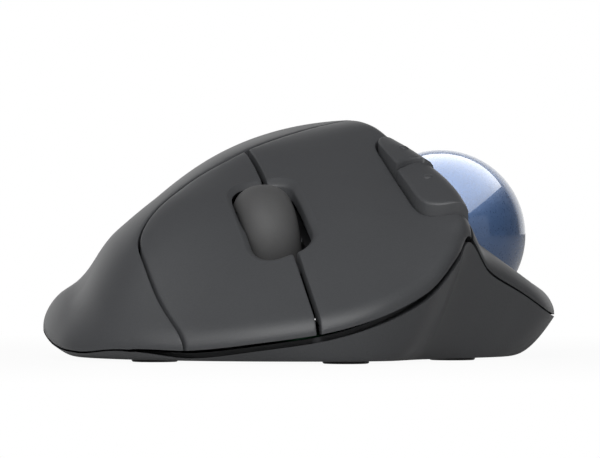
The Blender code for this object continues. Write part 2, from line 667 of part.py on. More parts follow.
def combine(obj, operation, *tools):
    """Cut or join an object with tool pieces."""
    for piece in tools:
        piece.hide_render = True
        piece.display_type = "WIRE"
        change = obj.modifiers.new(operation.lower(), "BOOLEAN")
        change.operation = operation
        change.solver = "EXACT"
        change.object = piece
    return obj


def tool_box(size, frame=IDENTITY):
    """Box used to cut or join."""
    return box("tool_box", size, frame, TOOLS)


def tool_rod(radius, length, frame=IDENTITY, sides=ROUND):
    """Bar used to cut or join."""
    return rod("tool_rod", radius, length, frame, sides, TOOLS)


def at(x, y, z):
    """Upright frame at a place."""
    return Matrix.Translation((x, y, z))


def span(low, high, x, y):
    """Length and upright frame of a bar between two heights."""
    return high - low, at(x, y, (low + high) / 2)


def paint(name, colour, roughness, metallic=0.0):
    """Plain material."""
    material = bpy.data.materials.new(name)
    material.use_nodes = True
    shader = material.node_tree.nodes["Principled BSDF"]
    shader.inputs["Base Color"].default_value = (*colour, 1)
    shader.inputs["Roughness"].default_value = roughness
    shader.inputs["Metallic"].default_value = metallic
    material.diffuse_color = (*colour, 1)
    return material


def draped(name, loop, top, bottom, features, pitch, pivot=Vector((0, 0, 0))):
    """Solid between two height fields over a plan outline: an extruded sheet draped on both."""
    places, faces = plan_mesh(loop, features, pitch)
    bm = bmesh.new()
    verts = [bm.verts.new((x, y, 0)) for x, y in places]
    for face in faces:
        bm.faces.new([verts[i] for i in face])
    lifted = bmesh.ops.extrude_face_region(bm, geom=bm.faces[:])["geom"]
    upper = [v for v in lifted if isinstance(v, bmesh.types.BMVert)]
    lower = [v for v in bm.verts if v not in set(upper)]
    for group, height in ((upper, top), (lower, bottom)):
        flat = np.array([v.co[:2] for v in group])
        for vert, z in zip(group, height(flat[:, 0], flat[:, 1])):
            vert.co.z = z
    bmesh.ops.recalc_face_normals(bm, faces=bm.faces[:])
    bmesh.ops.translate(bm, vec=-pivot, verts=bm.verts)
    return add_object(name, bm, Matrix.Translation(pivot))


def reach(frame):
    """Distance along a frame's Z to the middle of the shell above it."""
    steps = np.arange(0, 0.04, 0.0001)
    start = frame.translation
    axis = frame.to_3x3() @ Vector((0, 0, 1))
    line = np.array(start) + steps[:, None] * np.array(axis)
    middle = (outer(line[:, 0], line[:, 1]) + inner(line[:, 0], line[:, 1])) / 2
    return steps[np.argmax(line[:, 2] > middle)]


# Shells

def hinge_frame(place):
    """Frame of a key's hinge, with X along its pin."""
    return on_deck(place, HINGE_RISE)


def riser(frame, width):
    """Post that ties a hinge or a plunger's pad to the key above."""
    height = reach(frame)
    return tool_box((width, RISER * 0.9, height), frame @ at(0, 0, height / 2))


def switch_frame(place):
    """Frame on the deck under a key's switch."""
    return on_deck(place, SEAT, WHEEL_YAW)


def key_post(place):
    """Post that presses a switch's plunger."""
    start = switch_frame(place) @ at(0, 0, SWITCH.z + PLUNGER_PROUD + TOUCH)
    height = reach(start)
    return tool_rod(POST_RADIUS, height, start @ at(0, 0, height / 2), 12)


def hinge_pin(frame, barrel):
    """Barrel and pin of a key's hinge."""
    lying = frame @ Matrix.Rotation(pi / 2, 4, "Y")
    pin = tool_rod(PIN_RADIUS, barrel + 2 * (CAP_GAP + EAR), lying, 16)
    return pin, tool_rod(BARREL_RADIUS, barrel, lying, 16)


def tyre_profile(steps, clear=0.0):
    """Barrel section of the tyre, full in the middle and rounded off to both sides."""
    turn = np.linspace(pi / 2, -pi / 2, 2 * steps + 1)
    swell = np.clip(np.cos(turn), 0, 1) ** (2 / TYRE_CURVE)
    side = np.sign(np.sin(turn)) * np.abs(np.sin(turn)) ** (2 / TYRE_CURVE)
    radius = WHEEL_RADIUS - TYRE + (TYRE + clear) * swell
    return list(zip(radius, (WHEEL_WIDTH / 2 + clear) * side))


def wheel_room():
    """Room for the wheel under the keys, in the tyre's own shape."""
    half = WHEEL_WIDTH / 2 + WHEEL_CLEAR
    profile = [(0, half)] + tyre_profile(4, WHEEL_CLEAR) + [(0, -half)]
    return turned("tool_room", profile, AXLE_FRAME, WHEEL_SIDES, TOOLS)


def make_left_key(loop):
    """Left key plate with its hinge, post and side-button notch."""
    frame = hinge_frame(LEFT_HINGE)
    key = draped("left_key", loop, outer, inner, shell_features(), PITCH, frame.translation)
    pin, barrel = hinge_pin(frame, LEFT_BARREL)
    combine(key, "UNION", riser(frame, LEFT_BARREL * 0.8), barrel, pin, key_post(LEFT_SWITCH))
    return combine(key, "DIFFERENCE", wheel_room())


def make_right_key(loop):
    """Right key plate, whose hinge arm runs back under the palm shell."""
    frame = hinge_frame(RIGHT_HINGE)
    key = draped("right_key", loop, outer, inner, shell_features(), PITCH, frame.translation)
    pin, barrel = hinge_pin(frame, RIGHT_BARREL)
    width = RIGHT_BARREL * 0.56
    arm = tool_box((width, RIGHT_ARM + RISER, RISER), frame @ at(-RIGHT_BARREL * 0.2, -RIGHT_ARM / 2, 0))
    post = riser(frame @ at(-RIGHT_BARREL * 0.2, -RIGHT_ARM, 0), width * 0.9)
    combine(key, "UNION", post, arm, barrel, pin, key_post(RIGHT_SWITCH))
    return combine(key, "DIFFERENCE", wheel_room())


def boss_tools(place):
    """Screw boss under a shell and its pilot hole."""
    low = FOOT_PROUD + SCREW_CUP + SEAT
    turn = np.linspace(0, 2 * pi, 13)
    around = place[0] + BOSS_RADIUS * np.cos(turn), place[1] + BOSS_RADIUS * np.sin(turn)
    top = outer(*around).min() - WALL / 4
    boss = tool_rod(BOSS_RADIUS, *span(low, top, *place), 12)
    depth = SCREW_LENGTH - (SCREW_CUP - SCREW_HEAD_HEIGHT - SEAT) + SEAT
    pilot = tool_rod(SCREW_RADIUS + RUN, *span(low - SEAT, low + depth, *place), 10)
    return boss, pilot


def make_palm(loop):
    """Palm shell with its screw bosses."""
    shell = draped("palm_shell", loop, outer, inner, shell_features(), PITCH)
    tools = [boss_tools(place) for place in SCREWS[:3]]
    combine(shell, "UNION", *(boss for boss, _ in tools))
    return combine(shell, "DIFFERENCE", *(pilot for _, pilot in tools))


def make_thumb_panel(loop):
    """Thumb panel with the ball's round opening and its screw bosses."""
    shell = draped("thumb_panel", loop, outer, inner, shell_features(), PITCH)
    tools = [boss_tools(place) for place in SCREWS[3:]]
    combine(shell, "UNION", *(boss for boss, _ in tools))
    opening = (BALL_RADIUS ** 2 - RING_LIFT ** 2) ** 0.5 + RING_GAP
    height = 2 * BALL_RADIUS
    hole = tool_rod(opening, height, CUP_FRAME @ at(0, 0, CUP_TOP + height / 2 - SEAT), 40)
    room = CUP_TOP + SEAT
    clear = tool_rod(CUP_OUTER + SEAT, height, CUP_FRAME @ at(0, 0, room - height / 2), 40)
    return combine(shell, "DIFFERENCE", hole, clear, *(pilot for _, pilot in tools))


def side_frame(place):
    """Upright frame on the level pad under a side button's switch."""
    return at(*place, on_deck(place).translation.z + PAD_RISE + SEAT)


def make_cap(name, loop, raise_by, place):
    """Side button cap with its stem."""
    ring = np.vstack([loop, loop[:1]])
    ridge = shifted(THUMB_LINE, PANEL_GAP / 2 - RIDGE_LIP)
    rear, front = loop[:, 1].max(), loop[:, 1].min()

    def top(x, y):
        share = (y - front) / (rear - front)
        lift = raise_by[0] + (raise_by[1] - raise_by[0]) * share
        edge = rounding(np.abs(nearest(ring, x, y)[0]), CAP_ROUND)
        fall = rounding(np.abs(nearest(ridge, x, y)[0]), CAP_EDGE) * CAP_FALL / CAP_EDGE
        return crown(x, y) + lift - np.maximum(edge, fall)

    normal = loop_normals(loop)
    lines = [(loop + depth * normal, depth * 0.9) for depth in (CAP_ROUND * 0.2, CAP_ROUND)]
    lines += [(shifted(ridge, CAP_EDGE * part), CAP_ROUND) for part in (0.25, 0.55, 1.0)]
    cap = draped(name, loop, top, lambda x, y: crown(x, y) - CAP_DEPTH, lines, PITCH)
    start = side_frame(place).translation
    low = start.z + TACT.z + TACT_PROUD + TOUCH
    high = crown(place[0], place[1])[0] - CAP_DEPTH / 2
    return combine(cap, "UNION", tool_rod(STEM_RADIUS, *span(low, high, *place), 10))


# Base and its bottom

def base_sections():
    """Outer and inner sections of the base at each rim station, from the seam to the foot."""
    rim, foot = RIM_LINE[:, :2], RIM_LINE[:, 3:5]
    top = RIM_SEAM[:-1] - RIM_LINE[:, 5]
    bend = foot + 0.42 * (rim - foot)
    behind = np.interp(RIM_LINE[:, 5], LIP_GAPS, (0, 1))
    lip = top + LIP_LOW + (RIM_LINE[:, 5] - LIP_DROP - LIP_LOW) * behind
    within = [rim + (WALL + LIP_ROOM + share * BASE_WALL / 2) * loop_normals(rim) for share in (0, 1)]
    rings = {"outer": [], "inner": [], "lip": [np.column_stack([within[0], top])]}
    rings["lip"] += [np.column_stack([place, lip]) for place in within]
    for share in np.linspace(0, 1, 6):
        a, b, c = (1 - share) ** 2, 2 * share * (1 - share), share ** 2
        place = a * rim + b * bend + c * foot
        low = FOOT_PROUD
        rings["outer"].append(np.column_stack([place, a * top + b * (low + 0.06 * (top - low)) + c * low]))
        within = place + BASE_WALL * loop_normals(place)
        rise = b * (FLOOR_TOP + 0.06 * (top - FLOOR_TOP)) + c * FLOOR_TOP
        rings["inner"].append(np.column_stack([within, a * top + rise]))
    return rings


def make_tub():
    """Base tub lofted from the seam to the foot, with a flat floor."""
    rings = base_sections()
    bm = bmesh.new()
    loops = []
    for ring in rings["outer"][::-1] + rings["lip"] + rings["inner"][::2][1:] + rings["inner"][-1:]:
        loops.append([bm.verts.new(p) for p in ring])
    count = len(loops[0])
    for lower, upper in zip(loops, loops[1:]):
        for i in range(count):
            k = (i + 1) % count
            bm.faces.new((lower[i], lower[k], upper[k], upper[i]))
    bm.faces.new(loops[0][::-1])
    bm.faces.new(loops[-1])
    bmesh.ops.recalc_face_normals(bm, faces=bm.faces[:])
    return add_object("base", bm)


def bay_box():
    """Inner half width, front end and rear end of the battery bay."""
    half = CELL_RADIUS + BAY_GAP
    front = CELL_MIDDLE[1] - CELL_LENGTH / 2 - SPRING_ROOM
    rear = CELL_MIDDLE[1] + CELL_LENGTH / 2 + CELL_NUB + BAY_GAP + CONTACT.y
    return half, front, rear


def bay_walls():
    """Four walls around the battery."""
    half, front, rear = bay_box()
    low = FLOOR_TOP - FLOOR / 2
    height = BAY_HEIGHT + FLOOR / 2
    middle = (front + rear) / 2
    length = rear - front + 2 * BAY_WALL
    z = low + height / 2
    x = CELL_MIDDLE[0]
    outside = tool_box((2 * (half + BAY_WALL), length, height), at(x, middle, z))
    inside = tool_box((2 * half, rear - front, height * 2), at(x, middle, z + FLOOR))
    return outside, inside


def door_opening():
    """Middle, width and length of the battery door's opening."""
    half, front, rear = bay_box()
    return (CELL_MIDDLE[0], (front + rear) / 2), 2 * half - 2 * DOOR_GAP, rear - front - 2 * DOOR_GAP


def tab_places():
    """Places on the floor where the battery door's tabs hook in."""
    middle, width, length = door_opening()
    y = middle[1] - length / 2 + DOOR_GAP
    return [Vector((middle[0] + side * width / 4, y, 0)) for side in (-1, 1)]


def make_base():
    """Base with towers, ball seat, screw cups, battery bay and cut-outs."""
    base = make_tub()
    outside, inside = bay_walls()
    joins = [outside]
    cuts = [inside]
    sunk = FLOOR_TOP - FLOOR / 2
    for place in TOWERS:
        top = tower_top(place)
        joins.append(tool_rod(TOWER_RADIUS, *span(sunk, top, *place), 12))
        bottom = top - FRAME_SCREW + FRAME_BOSS - SEAT
        cuts.append(tool_rod(SCREW_RADIUS + RUN, *span(bottom, top + SEAT, *place), 10))
    seat = BALL_CENTRE.z - CUP_OUTER - SEAT
    joins.append(tool_rod(EJECT_RADIUS + EJECT_WALL, *span(sunk, seat, *BALL_CENTRE[:2]), 18))
    cuts.append(tool_rod(EJECT_RADIUS, *span(-FLOOR, seat + FLOOR, *BALL_CENTRE[:2]), 18))
    for place in SCREWS:
        rise = span(FOOT_PROUD + FLOOR / 2, FOOT_PROUD + SCREW_CUP, *place)
        joins.append(tool_rod(SCREW_HEAD + SCREW_CUP_WALL, *rise, 12))
        depth = FOOT_PROUD + SCREW_HEAD_HEIGHT + 2 * SEAT
        cuts.append(tool_rod(SCREW_HEAD + SEAT, *span(-FLOOR, depth, *place), 12))
        cuts.append(tool_rod(SCREW_RADIUS + SEAT, *span(-FLOOR, depth + SCREW_CUP, *place), 10))
    for dx in (-1, 1):
        for dy in (-1, 1):
            x, y = board_post(dx, dy)
            joins.append(tool_rod(BOARD_POST, *span(sunk, FLOOR_TOP + BOARD_RISE - SEAT, x, y), 10))
    for place in FEET:
        cuts.append(tool_rod(FOOT_RADIUS + SEAT, *span(-FLOOR, FOOT_PROUD + FOOT_SUNK, *place), 18))
    middle, width, length = door_opening()
    cuts.append(tool_box((width, length, FLOOR * 4), at(*middle, FLOOR_TOP)))
    for place in tab_places():
        room = Vector((TAB.x + 2 * DOOR_GAP, TAB.y + 2 * DOOR_GAP, 2 * TAB.z + 4 * SEAT))
        cuts.append(tool_box(room, Matrix.Translation(place + Vector((0, 0, FLOOR_TOP + room.z / 2)))))
    slot = (POWER_KNOB.x + POWER_TRAVEL + 2 * SEAT, POWER_KNOB.y + 2 * SEAT, FLOOR * 4)
    cuts.append(tool_box(slot, at(POWER_PLACE[0] + POWER_TRAVEL / 2, POWER_PLACE[1], FLOOR_TOP)))
    combine(base, "UNION", *joins)
    return combine(base, "DIFFERENCE", *cuts)


def board_post(dx, dy):
    """Place of a post under a corner of the main board."""
    x = BOARD_PLACE[0] + dx * (BOARD.x / 2 - BOARD_POST)
    return x, BOARD_PLACE[1] + dy * (BOARD.y / 2 - BOARD_POST)


def make_feet():
    """Low pads that the mouse stands on."""
    for number, place in enumerate(FEET, 1):
        rod(f"foot_{number}", FOOT_RADIUS, *span(0, FOOT_PROUD + FOOT_SUNK - SEAT, *place), 18)


def make_battery():
    """Cell, conical spring, contact plate and door."""
    half, front, rear = bay_box()
    x, y = CELL_MIDDLE[0], CELL_MIDDLE[1] - CELL_LENGTH / 2
    z = FLOOR_TOP + BAY_GAP + CELL_RADIUS
    lying = at(x, y, z) @ Matrix.Rotation(-pi / 2, 4, "X")
    r, end = CELL_RADIUS, CELL_LENGTH
    nub = 0.0027
    turned("battery", [(0, end + CELL_NUB), (nub, end + CELL_NUB), (nub, end), (r - 0.0006, end),
                       (r, end - 0.0006), (r, 0.0006), (r - 0.0006, 0), (0, 0)], lying, 24)
    box("battery_contact", CONTACT, at(x, rear - CONTACT.y / 2 - SEAT / 2, z))
    make_spring(x, front + SPRING_WIRE + SEAT, y - SPRING_WIRE - SEAT, z)
    middle, width, length = door_opening()
    hinge = Vector((x, middle[1] - length / 2 + DOOR_GAP, FOOT_PROUD))
    size = Vector((width - 2 * DOOR_GAP, length - 2 * DOOR_GAP, FLOOR))
    bm = bmesh.new()
    bmesh.ops.create_cube(bm, size=1)
    bmesh.ops.scale(bm, vec=size, verts=bm.verts)
    bmesh.ops.translate(bm, vec=(0, size.y / 2, size.z / 2), verts=bm.verts)
    door = add_object("battery_door", bm, Matrix.Translation(hinge))
    for place in tab_places():
        neck = Vector((TAB.x - 4 * RUN, TAB.y / 2, TAB.z + SEAT + FLOOR / 2 - RUN))
        root = Vector((0, TAB.y / 4, FLOOR_TOP - FLOOR / 2 + neck.z / 2))
        tab = tool_box(TAB, Matrix.Translation(place + Vector((0, 0, FLOOR_TOP + SEAT + TAB.z / 2))))
        combine(door, "UNION", tool_box(neck, Matrix.Translation(place + root)), tab)
    notch = tool_rod(0.0050, FLOOR, Matrix.Translation(hinge + Vector((0, size.y - 0.0040, -FLOOR * 0.25))))
    return combine(door, "DIFFERENCE", notch)


def make_spring(x, front, rear, z):
    """Conical wire spring at the battery's flat end."""
    curve = bpy.data.curves.new("battery_spring", "CURVE")
    curve.dimensions = "3D"
    curve.bevel_depth = SPRING_WIRE
    curve.bevel_resolution = 0
    curve.use_fill_caps = True
    spline = curve.splines.new("POLY")
    steps = SPRING_TURNS * 9
    spline.points.add(steps)
    for i in range(steps + 1):
        share = i / steps
        turn = 2 * pi * SPRING_TURNS * share
        radius = CELL_RADIUS * (0.62 - 0.28 * share)
        y = front + (rear - front) * share
        spline.points[i].co = (x + radius * cos(turn), y, z + radius * sin(turn), 1)
    obj = bpy.data.objects.new("battery_spring", curve)
    PARTS.objects.link(obj)
    return obj


# Ball, cup and sensor

def sensor_frame():
    """Frame on the ball's centre whose Z points through the sensor."""
    return Matrix.Translation(BALL_CENTRE) @ Matrix.Rotation(-pi / 2 - SENSOR_DIP, 4, "Y")


def bead_frames():
    """Frames of the three bearing beads."""
    distance = BALL_RADIUS + BEAD_TOUCH + BEAD_RADIUS
    for turn in (90, 210, 330):
        around = Matrix.Rotation(radians(turn), 4, "Z") @ Matrix.Rotation(pi - BEAD_ANGLE, 4, "Y")
        yield CUP_FRAME @ around @ at(0, 0, distance)


def make_ball_unit():
    """Ball, cup, beads, lens, chip and sensor board."""
    ball("trackball", BALL_RADIUS, CUP_FRAME, BALL_SIDES)
    outer_arc = np.linspace(np.arccos(CUP_TOP / CUP_OUTER), pi, 9)
    inner_arc = np.linspace(pi, np.arccos(CUP_TOP / CUP_INNER), 9)
    profile = [(CUP_OUTER * sin(a), CUP_OUTER * cos(a)) for a in outer_arc[:-1]] + [(0, -CUP_OUTER)]
    bowl = [(0, -CUP_INNER)] + [(CUP_INNER * sin(a), CUP_INNER * cos(a)) for a in inner_arc[1:]]
    cup = turned_bowl("ball_cup", profile, bowl, CUP_FRAME, CUP_SIDES)
    look = sensor_frame()
    lens_low = CUP_INNER + SEAT
    lens_high = lens_low + LENS_DEPTH
    chip_low = lens_high + SEAT
    board_low = chip_low + SENSOR_CHIP.z + TOUCH
    aside = SENSOR_BOARD.y / 2 - STAY_RADIUS
    foot = ((CUP_INNER + RUN * 2) ** 2 - (aside - STAY_RADIUS) ** 2) ** 0.5
    stay = board_low - SEAT - foot
    for side in (-1, 1):
        combine(cup, "UNION", tool_rod(STAY_RADIUS, stay, look @ at(0, side * aside, foot + stay / 2), 12))
    combine(cup, "DIFFERENCE", tool_rod(LENS_RADIUS + SEAT, CUP_WALL * 4, look @ at(0, 0, CUP_INNER), 18))
    down = BALL_CENTRE.z - CUP_OUTER
    combine(cup, "DIFFERENCE", tool_rod(EJECT_RADIUS, CUP_WALL * 4, at(*BALL_CENTRE[:2], down), 24))
    for number, frame in enumerate(bead_frames(), 1):
        ball(f"bearing_bead_{number}", BEAD_RADIUS, frame, 10)
        pocket = tool_rod(BEAD_RADIUS + RUN, BEAD_RADIUS * 2, frame @ at(0, 0, RUN), 14)
        combine(cup, "DIFFERENCE", pocket)
    rod("sensor_lens", LENS_RADIUS, LENS_DEPTH, look @ at(0, 0, (lens_low + lens_high) / 2), 18)
    box("sensor_chip", SENSOR_CHIP, look @ at(0, 0, chip_low + SENSOR_CHIP.z / 2))
    box("sensor_board", SENSOR_BOARD, look @ at(0, 0, board_low + SENSOR_BOARD.z / 2))


def turned_bowl(name, outside, inside, frame, sides):
    """Bowl turned from an outside and an inside profile."""
    return turned(name, outside + inside, frame, sides)


# Key frame, switches and wheel

def tower_top(place):
    """Height of a tower's top, just under its boss on the key frame."""
    return on_deck(place, -DECK / 2).translation.z - FRAME_BOSS / 2 - SEAT


def make_key_frame():
    """Tilted deck with hinge ears, wheel well and screw bosses, and its screws."""
    bm = bmesh.new()
    corners = [bm.verts.new((x, y / cos(DECK_TILT), 0)) for x, y in DECK_OUTLINE]
    bm.faces.new(corners)
    top = bmesh.ops.extrude_face_region(bm, geom=bm.faces[:])["geom"]
    bmesh.ops.translate(bm, vec=(0, 0, -DECK), verts=[v for v in top if isinstance(v, bmesh.types.BMVert)])
    bmesh.ops.recalc_face_normals(bm, faces=bm.faces[:])
    deck = add_object("key_frame", bm, DECK_FRAME)
    joins = []
    cuts = []
    for place, barrel in ((LEFT_HINGE, LEFT_BARREL), (RIGHT_HINGE, RIGHT_BARREL)):
        frame = hinge_frame(place)
        for side in (-1, 1):
            x = side * (barrel / 2 + CAP_GAP + EAR / 2)
            height = HINGE_RISE + BARREL_RADIUS + DECK / 2
            size = (EAR, 2 * (BARREL_RADIUS + SEAT), height)
            joins.append(tool_box(size, frame @ at(x, 0, BARREL_RADIUS - height / 2)))
        lying = frame @ Matrix.Rotation(pi / 2, 4, "Y")
        cuts.append(tool_rod(PIN_RADIUS + RUN, barrel * 3, lying, 16))
    for number, place in enumerate(TOWERS, 1):
        middle = on_deck(place, -DECK / 2).translation.z
        boss = span(middle - FRAME_BOSS / 2, middle + FRAME_BOSS / 2, *place)
        joins.append(tool_rod(TOWER_RADIUS, *boss, 12))
        hole = span(middle - FRAME_BOSS, middle + FRAME_BOSS, *place)
        cuts.append(tool_rod(SCREW_RADIUS + SEAT, *hole, 10))
        make_screw(f"frame_screw_{number}", at(*place, middle + FRAME_BOSS / 2 + RUN), FRAME_SCREW)
    for place in (FORWARD_SWITCH, BACK_SWITCH):
        high = side_frame(place).translation.z - SEAT
        size = (TACT.x + 2 * PAD_RIM, TACT.y + 2 * PAD_RIM, PAD_RISE + DECK)
        joins.append(tool_box(size, at(*place, high - size[2] / 2)))
    joins += cradle_ears()
    cuts += wheel_well()
    combine(deck, "DIFFERENCE", *wheel_well())
    combine(deck, "UNION", *joins)
    return combine(deck, "DIFFERENCE", *cuts)


def make_screw(name, frame, length):
    """Pan-head screw whose shank points down its frame's Z."""
    head, top = SCREW_HEAD, SCREW_HEAD_HEIGHT
    profile = [(0, top), (head * 0.7, top), (head, top / 2), (head, 0)]
    profile += [(SCREW_RADIUS, 0), (SCREW_RADIUS, SCREW_RADIUS - length), (0, -length)]
    turned(name, profile, frame, 10)


def make_base_screws():
    """Screws up through the base into the shells."""
    for number, place in enumerate(SCREWS, 1):
        seat = FOOT_PROUD + SCREW_HEAD_HEIGHT + 2 * SEAT - RUN
        make_screw(f"base_screw_{number}", at(*place, seat) @ Matrix.Rotation(pi, 4, "X"), SCREW_LENGTH)


def cradle_half():
    """Half width of the wheel's cradle."""
    return CRADLE_INNER / 2 + CRADLE_SIDE


def cradle_pivot():
    """Distance from the axle back to the cradle's pivot."""
    return WHEEL_RADIUS + WHEEL_ROOM + CRADLE_END / 2


def wheel_well():
    """Cutters for the cradle's opening, its pin bores and the encoder's pocket."""
    back = cradle_pivot() + CRADLE_END / 2 + SEAT
    length = back + WELL.y
    size = (2 * (cradle_half() + 2 * SEAT), length, WELL.z)
    well = tool_box(size, WHEEL_FRAME @ at(0, back - length / 2, 0))
    side = cradle_half() + SEAT
    pocket_size = (ENCODER.x + 2 * CAP_GAP, ENCODER.y + 2 * CAP_GAP, WELL.z)
    pocket = tool_box(pocket_size, WHEEL_FRAME @ at(side + ENCODER.x / 2, 0, 0))
    bore = tool_rod(PIN_RADIUS + RUN, 4 * cradle_half(), AXLE_FRAME @ at(0, cradle_pivot(), 0), 16)
    return [well, pocket, bore]


def cradle_ears():
    """Ears on the deck that carry the cradle's pins."""
    ears = []
    for side in (-1, 1):
        x = side * (cradle_half() + 2 * SEAT + CAP_GAP + EAR / 2)
        height = WHEEL_RISE + DECK / 2 + 2 * PIN_RADIUS
        size = (EAR, 4 * PIN_RADIUS, height)
        ears.append(tool_box(size, WHEEL_FRAME @ at(x, cradle_pivot(), 2 * PIN_RADIUS - height / 2)))
    return ears


def middle_switch_frame():
    """Upright frame on the main board under the cradle's front end."""
    place = (WHEEL_FRAME @ at(0, -cradle_pivot(), 0)).translation
    return at(place.x, place.y, BOARD_TOP + SEAT) @ Matrix.Rotation(WHEEL_YAW, 4, "Z")


def make_wheel():
    """Tyre, hub, axle, cradle and encoder."""
    half = WHEEL_WIDTH / 2
    core = WHEEL_RADIUS - TYRE
    turned("wheel_tyre", tyre_profile(4), AXLE_FRAME, WHEEL_SIDES)
    rim, web, boss, bore = core - RUN, 0.0012, 0.0030, AXLE_RADIUS + RUN
    wide = half + 0.0004
    hub = [(bore, wide), (boss, wide), (boss, web), (rim - 0.0012, web), (rim - 0.0012, half), (rim, half)]
    hub += [(x, -z) for x, z in hub[::-1]]
    turned("wheel_hub", hub, AXLE_FRAME, WHEEL_SIDES)
    axle_left = -cradle_half()
    axle_right = cradle_half() + ENCODER.x * 0.8
    middle = AXLE_FRAME @ at(0, 0, (axle_left + axle_right) / 2)
    rod("wheel_axle", AXLE_RADIUS, axle_right - axle_left, middle, 16)
    make_cradle()
    place = WHEEL_FRAME @ at(cradle_half() + SEAT + ENCODER.x / 2, 0, 0)
    encoder = soften(box("wheel_encoder", ENCODER, place), 0.0004)
    bore = tool_rod(AXLE_RADIUS + RUN, ENCODER.x * 3, AXLE_FRAME @ at(0, 0, cradle_half()), 16)
    return combine(encoder, "DIFFERENCE", bore)


def make_cradle():
    """Frame around the wheel that rocks on two pins and presses the middle switch."""
    pivot = WHEEL_FRAME @ at(0, cradle_pivot(), 0)
    length = 2 * cradle_pivot() + CRADLE_END
    bm = bmesh.new()
    bmesh.ops.create_cube(bm, size=1)
    bmesh.ops.scale(bm, vec=(2 * cradle_half(), length, CRADLE_HEIGHT), verts=bm.verts)
    bmesh.ops.translate(bm, vec=(0, -cradle_pivot(), 0), verts=bm.verts)
    cradle = add_object("wheel_cradle", bm, pivot)
    room = tool_box((CRADLE_INNER, 2 * (WHEEL_RADIUS + WHEEL_ROOM), 0.030), WHEEL_FRAME)
    reach_out = cradle_half() + CAP_GAP + 2 * SEAT + EAR
    pin = tool_rod(PIN_RADIUS, 2 * reach_out, AXLE_FRAME @ at(0, cradle_pivot(), 0), 16)
    bore = tool_rod(AXLE_RADIUS + RUN, 4 * cradle_half(), AXLE_FRAME, 16)
    start = middle_switch_frame() @ at(0, 0, SWITCH.z + PLUNGER_PROUD + TOUCH)
    high = (WHEEL_FRAME @ at(0, -cradle_pivot(), 0)).translation.z
    post = tool_rod(POST_RADIUS, *span(start.translation.z, high, *start.translation[:2]), 12)
    combine(cradle, "DIFFERENCE", room)
    combine(cradle, "UNION", pin, post)
    return combine(cradle, "DIFFERENCE", bore)


def make_switch(name, frame):
    """Microswitch with its plunger."""
    body = soften(box(f"{name}_switch", SWITCH, frame @ at(0, 0, SWITCH.z / 2)), 0.0003)
    depth = PLUNGER.z - PLUNGER_PROUD + PLUNGER_TRAVEL
    pocket = (PLUNGER.x + 2 * RUN, PLUNGER.y + 2 * RUN, 2 * depth)
    combine(body, "DIFFERENCE", tool_box(pocket, frame @ at(0, 0, SWITCH.z)))
    box(f"{name}_plunger", PLUNGER, frame @ at(0, 0, SWITCH.z + PLUNGER_PROUD - PLUNGER.z / 2))


def make_tact(name, place):
    """Small square switch under a side button, with its plunger."""
    frame = side_frame(place)
    body = soften(box(f"{name}_switch", TACT, frame @ at(0, 0, TACT.z / 2)), 0.0003)
    length = TACT_PROUD + TACT.z / 2
    combine(body, "DIFFERENCE", tool_rod(TACT_PLUNGER + RUN, TACT.z * 1.5, frame @ at(0, 0, TACT.z), 14))
    rod(f"{name}_plunger", TACT_PLUNGER, length, frame @ at(0, 0, TACT.z + TACT_PROUD - length / 2), 14)


def make_switches():
    """All switches."""
    make_switch("left", switch_frame(LEFT_SWITCH))
    make_switch("right", switch_frame(RIGHT_SWITCH))
    make_switch("middle", middle_switch_frame())
    make_tact("forward", FORWARD_SWITCH)
    make_tact("back", BACK_SWITCH)


def make_electronics():
    """Main board, chip, power switch and its slider."""
    box("main_board", BOARD, at(*BOARD_PLACE, BOARD_TOP - BOARD.z / 2))
    soften(box("controller_chip", CHIP, at(*CHIP_PLACE, BOARD_TOP + TOUCH + CHIP.z / 2)), 0.0002)
    x, y = POWER_PLACE
    low = FOOT_PROUD + SEAT
    plate_low = FLOOR_TOP + RUN
    knob_height = plate_low + POWER_PLATE.z / 2 - low
    slider = box("power_slider", POWER_PLATE, at(x + POWER_TRAVEL / 4, y, plate_low + POWER_PLATE.z / 2))
    knob = tool_box((POWER_KNOB.x, POWER_KNOB.y, knob_height), at(x, y, low + knob_height / 2))
    combine(slider, "UNION", knob)
    switch_low = plate_low + POWER_PLATE.z + RUN
    switch_high = BOARD_TOP - BOARD.z - RUN
    size = (POWER_PLATE.x, POWER_PLATE.y * 0.8, switch_high - switch_low)
    box("power_switch", size, at(x + POWER_TRAVEL / 2, y, (switch_low + switch_high) / 2))


# Assembly

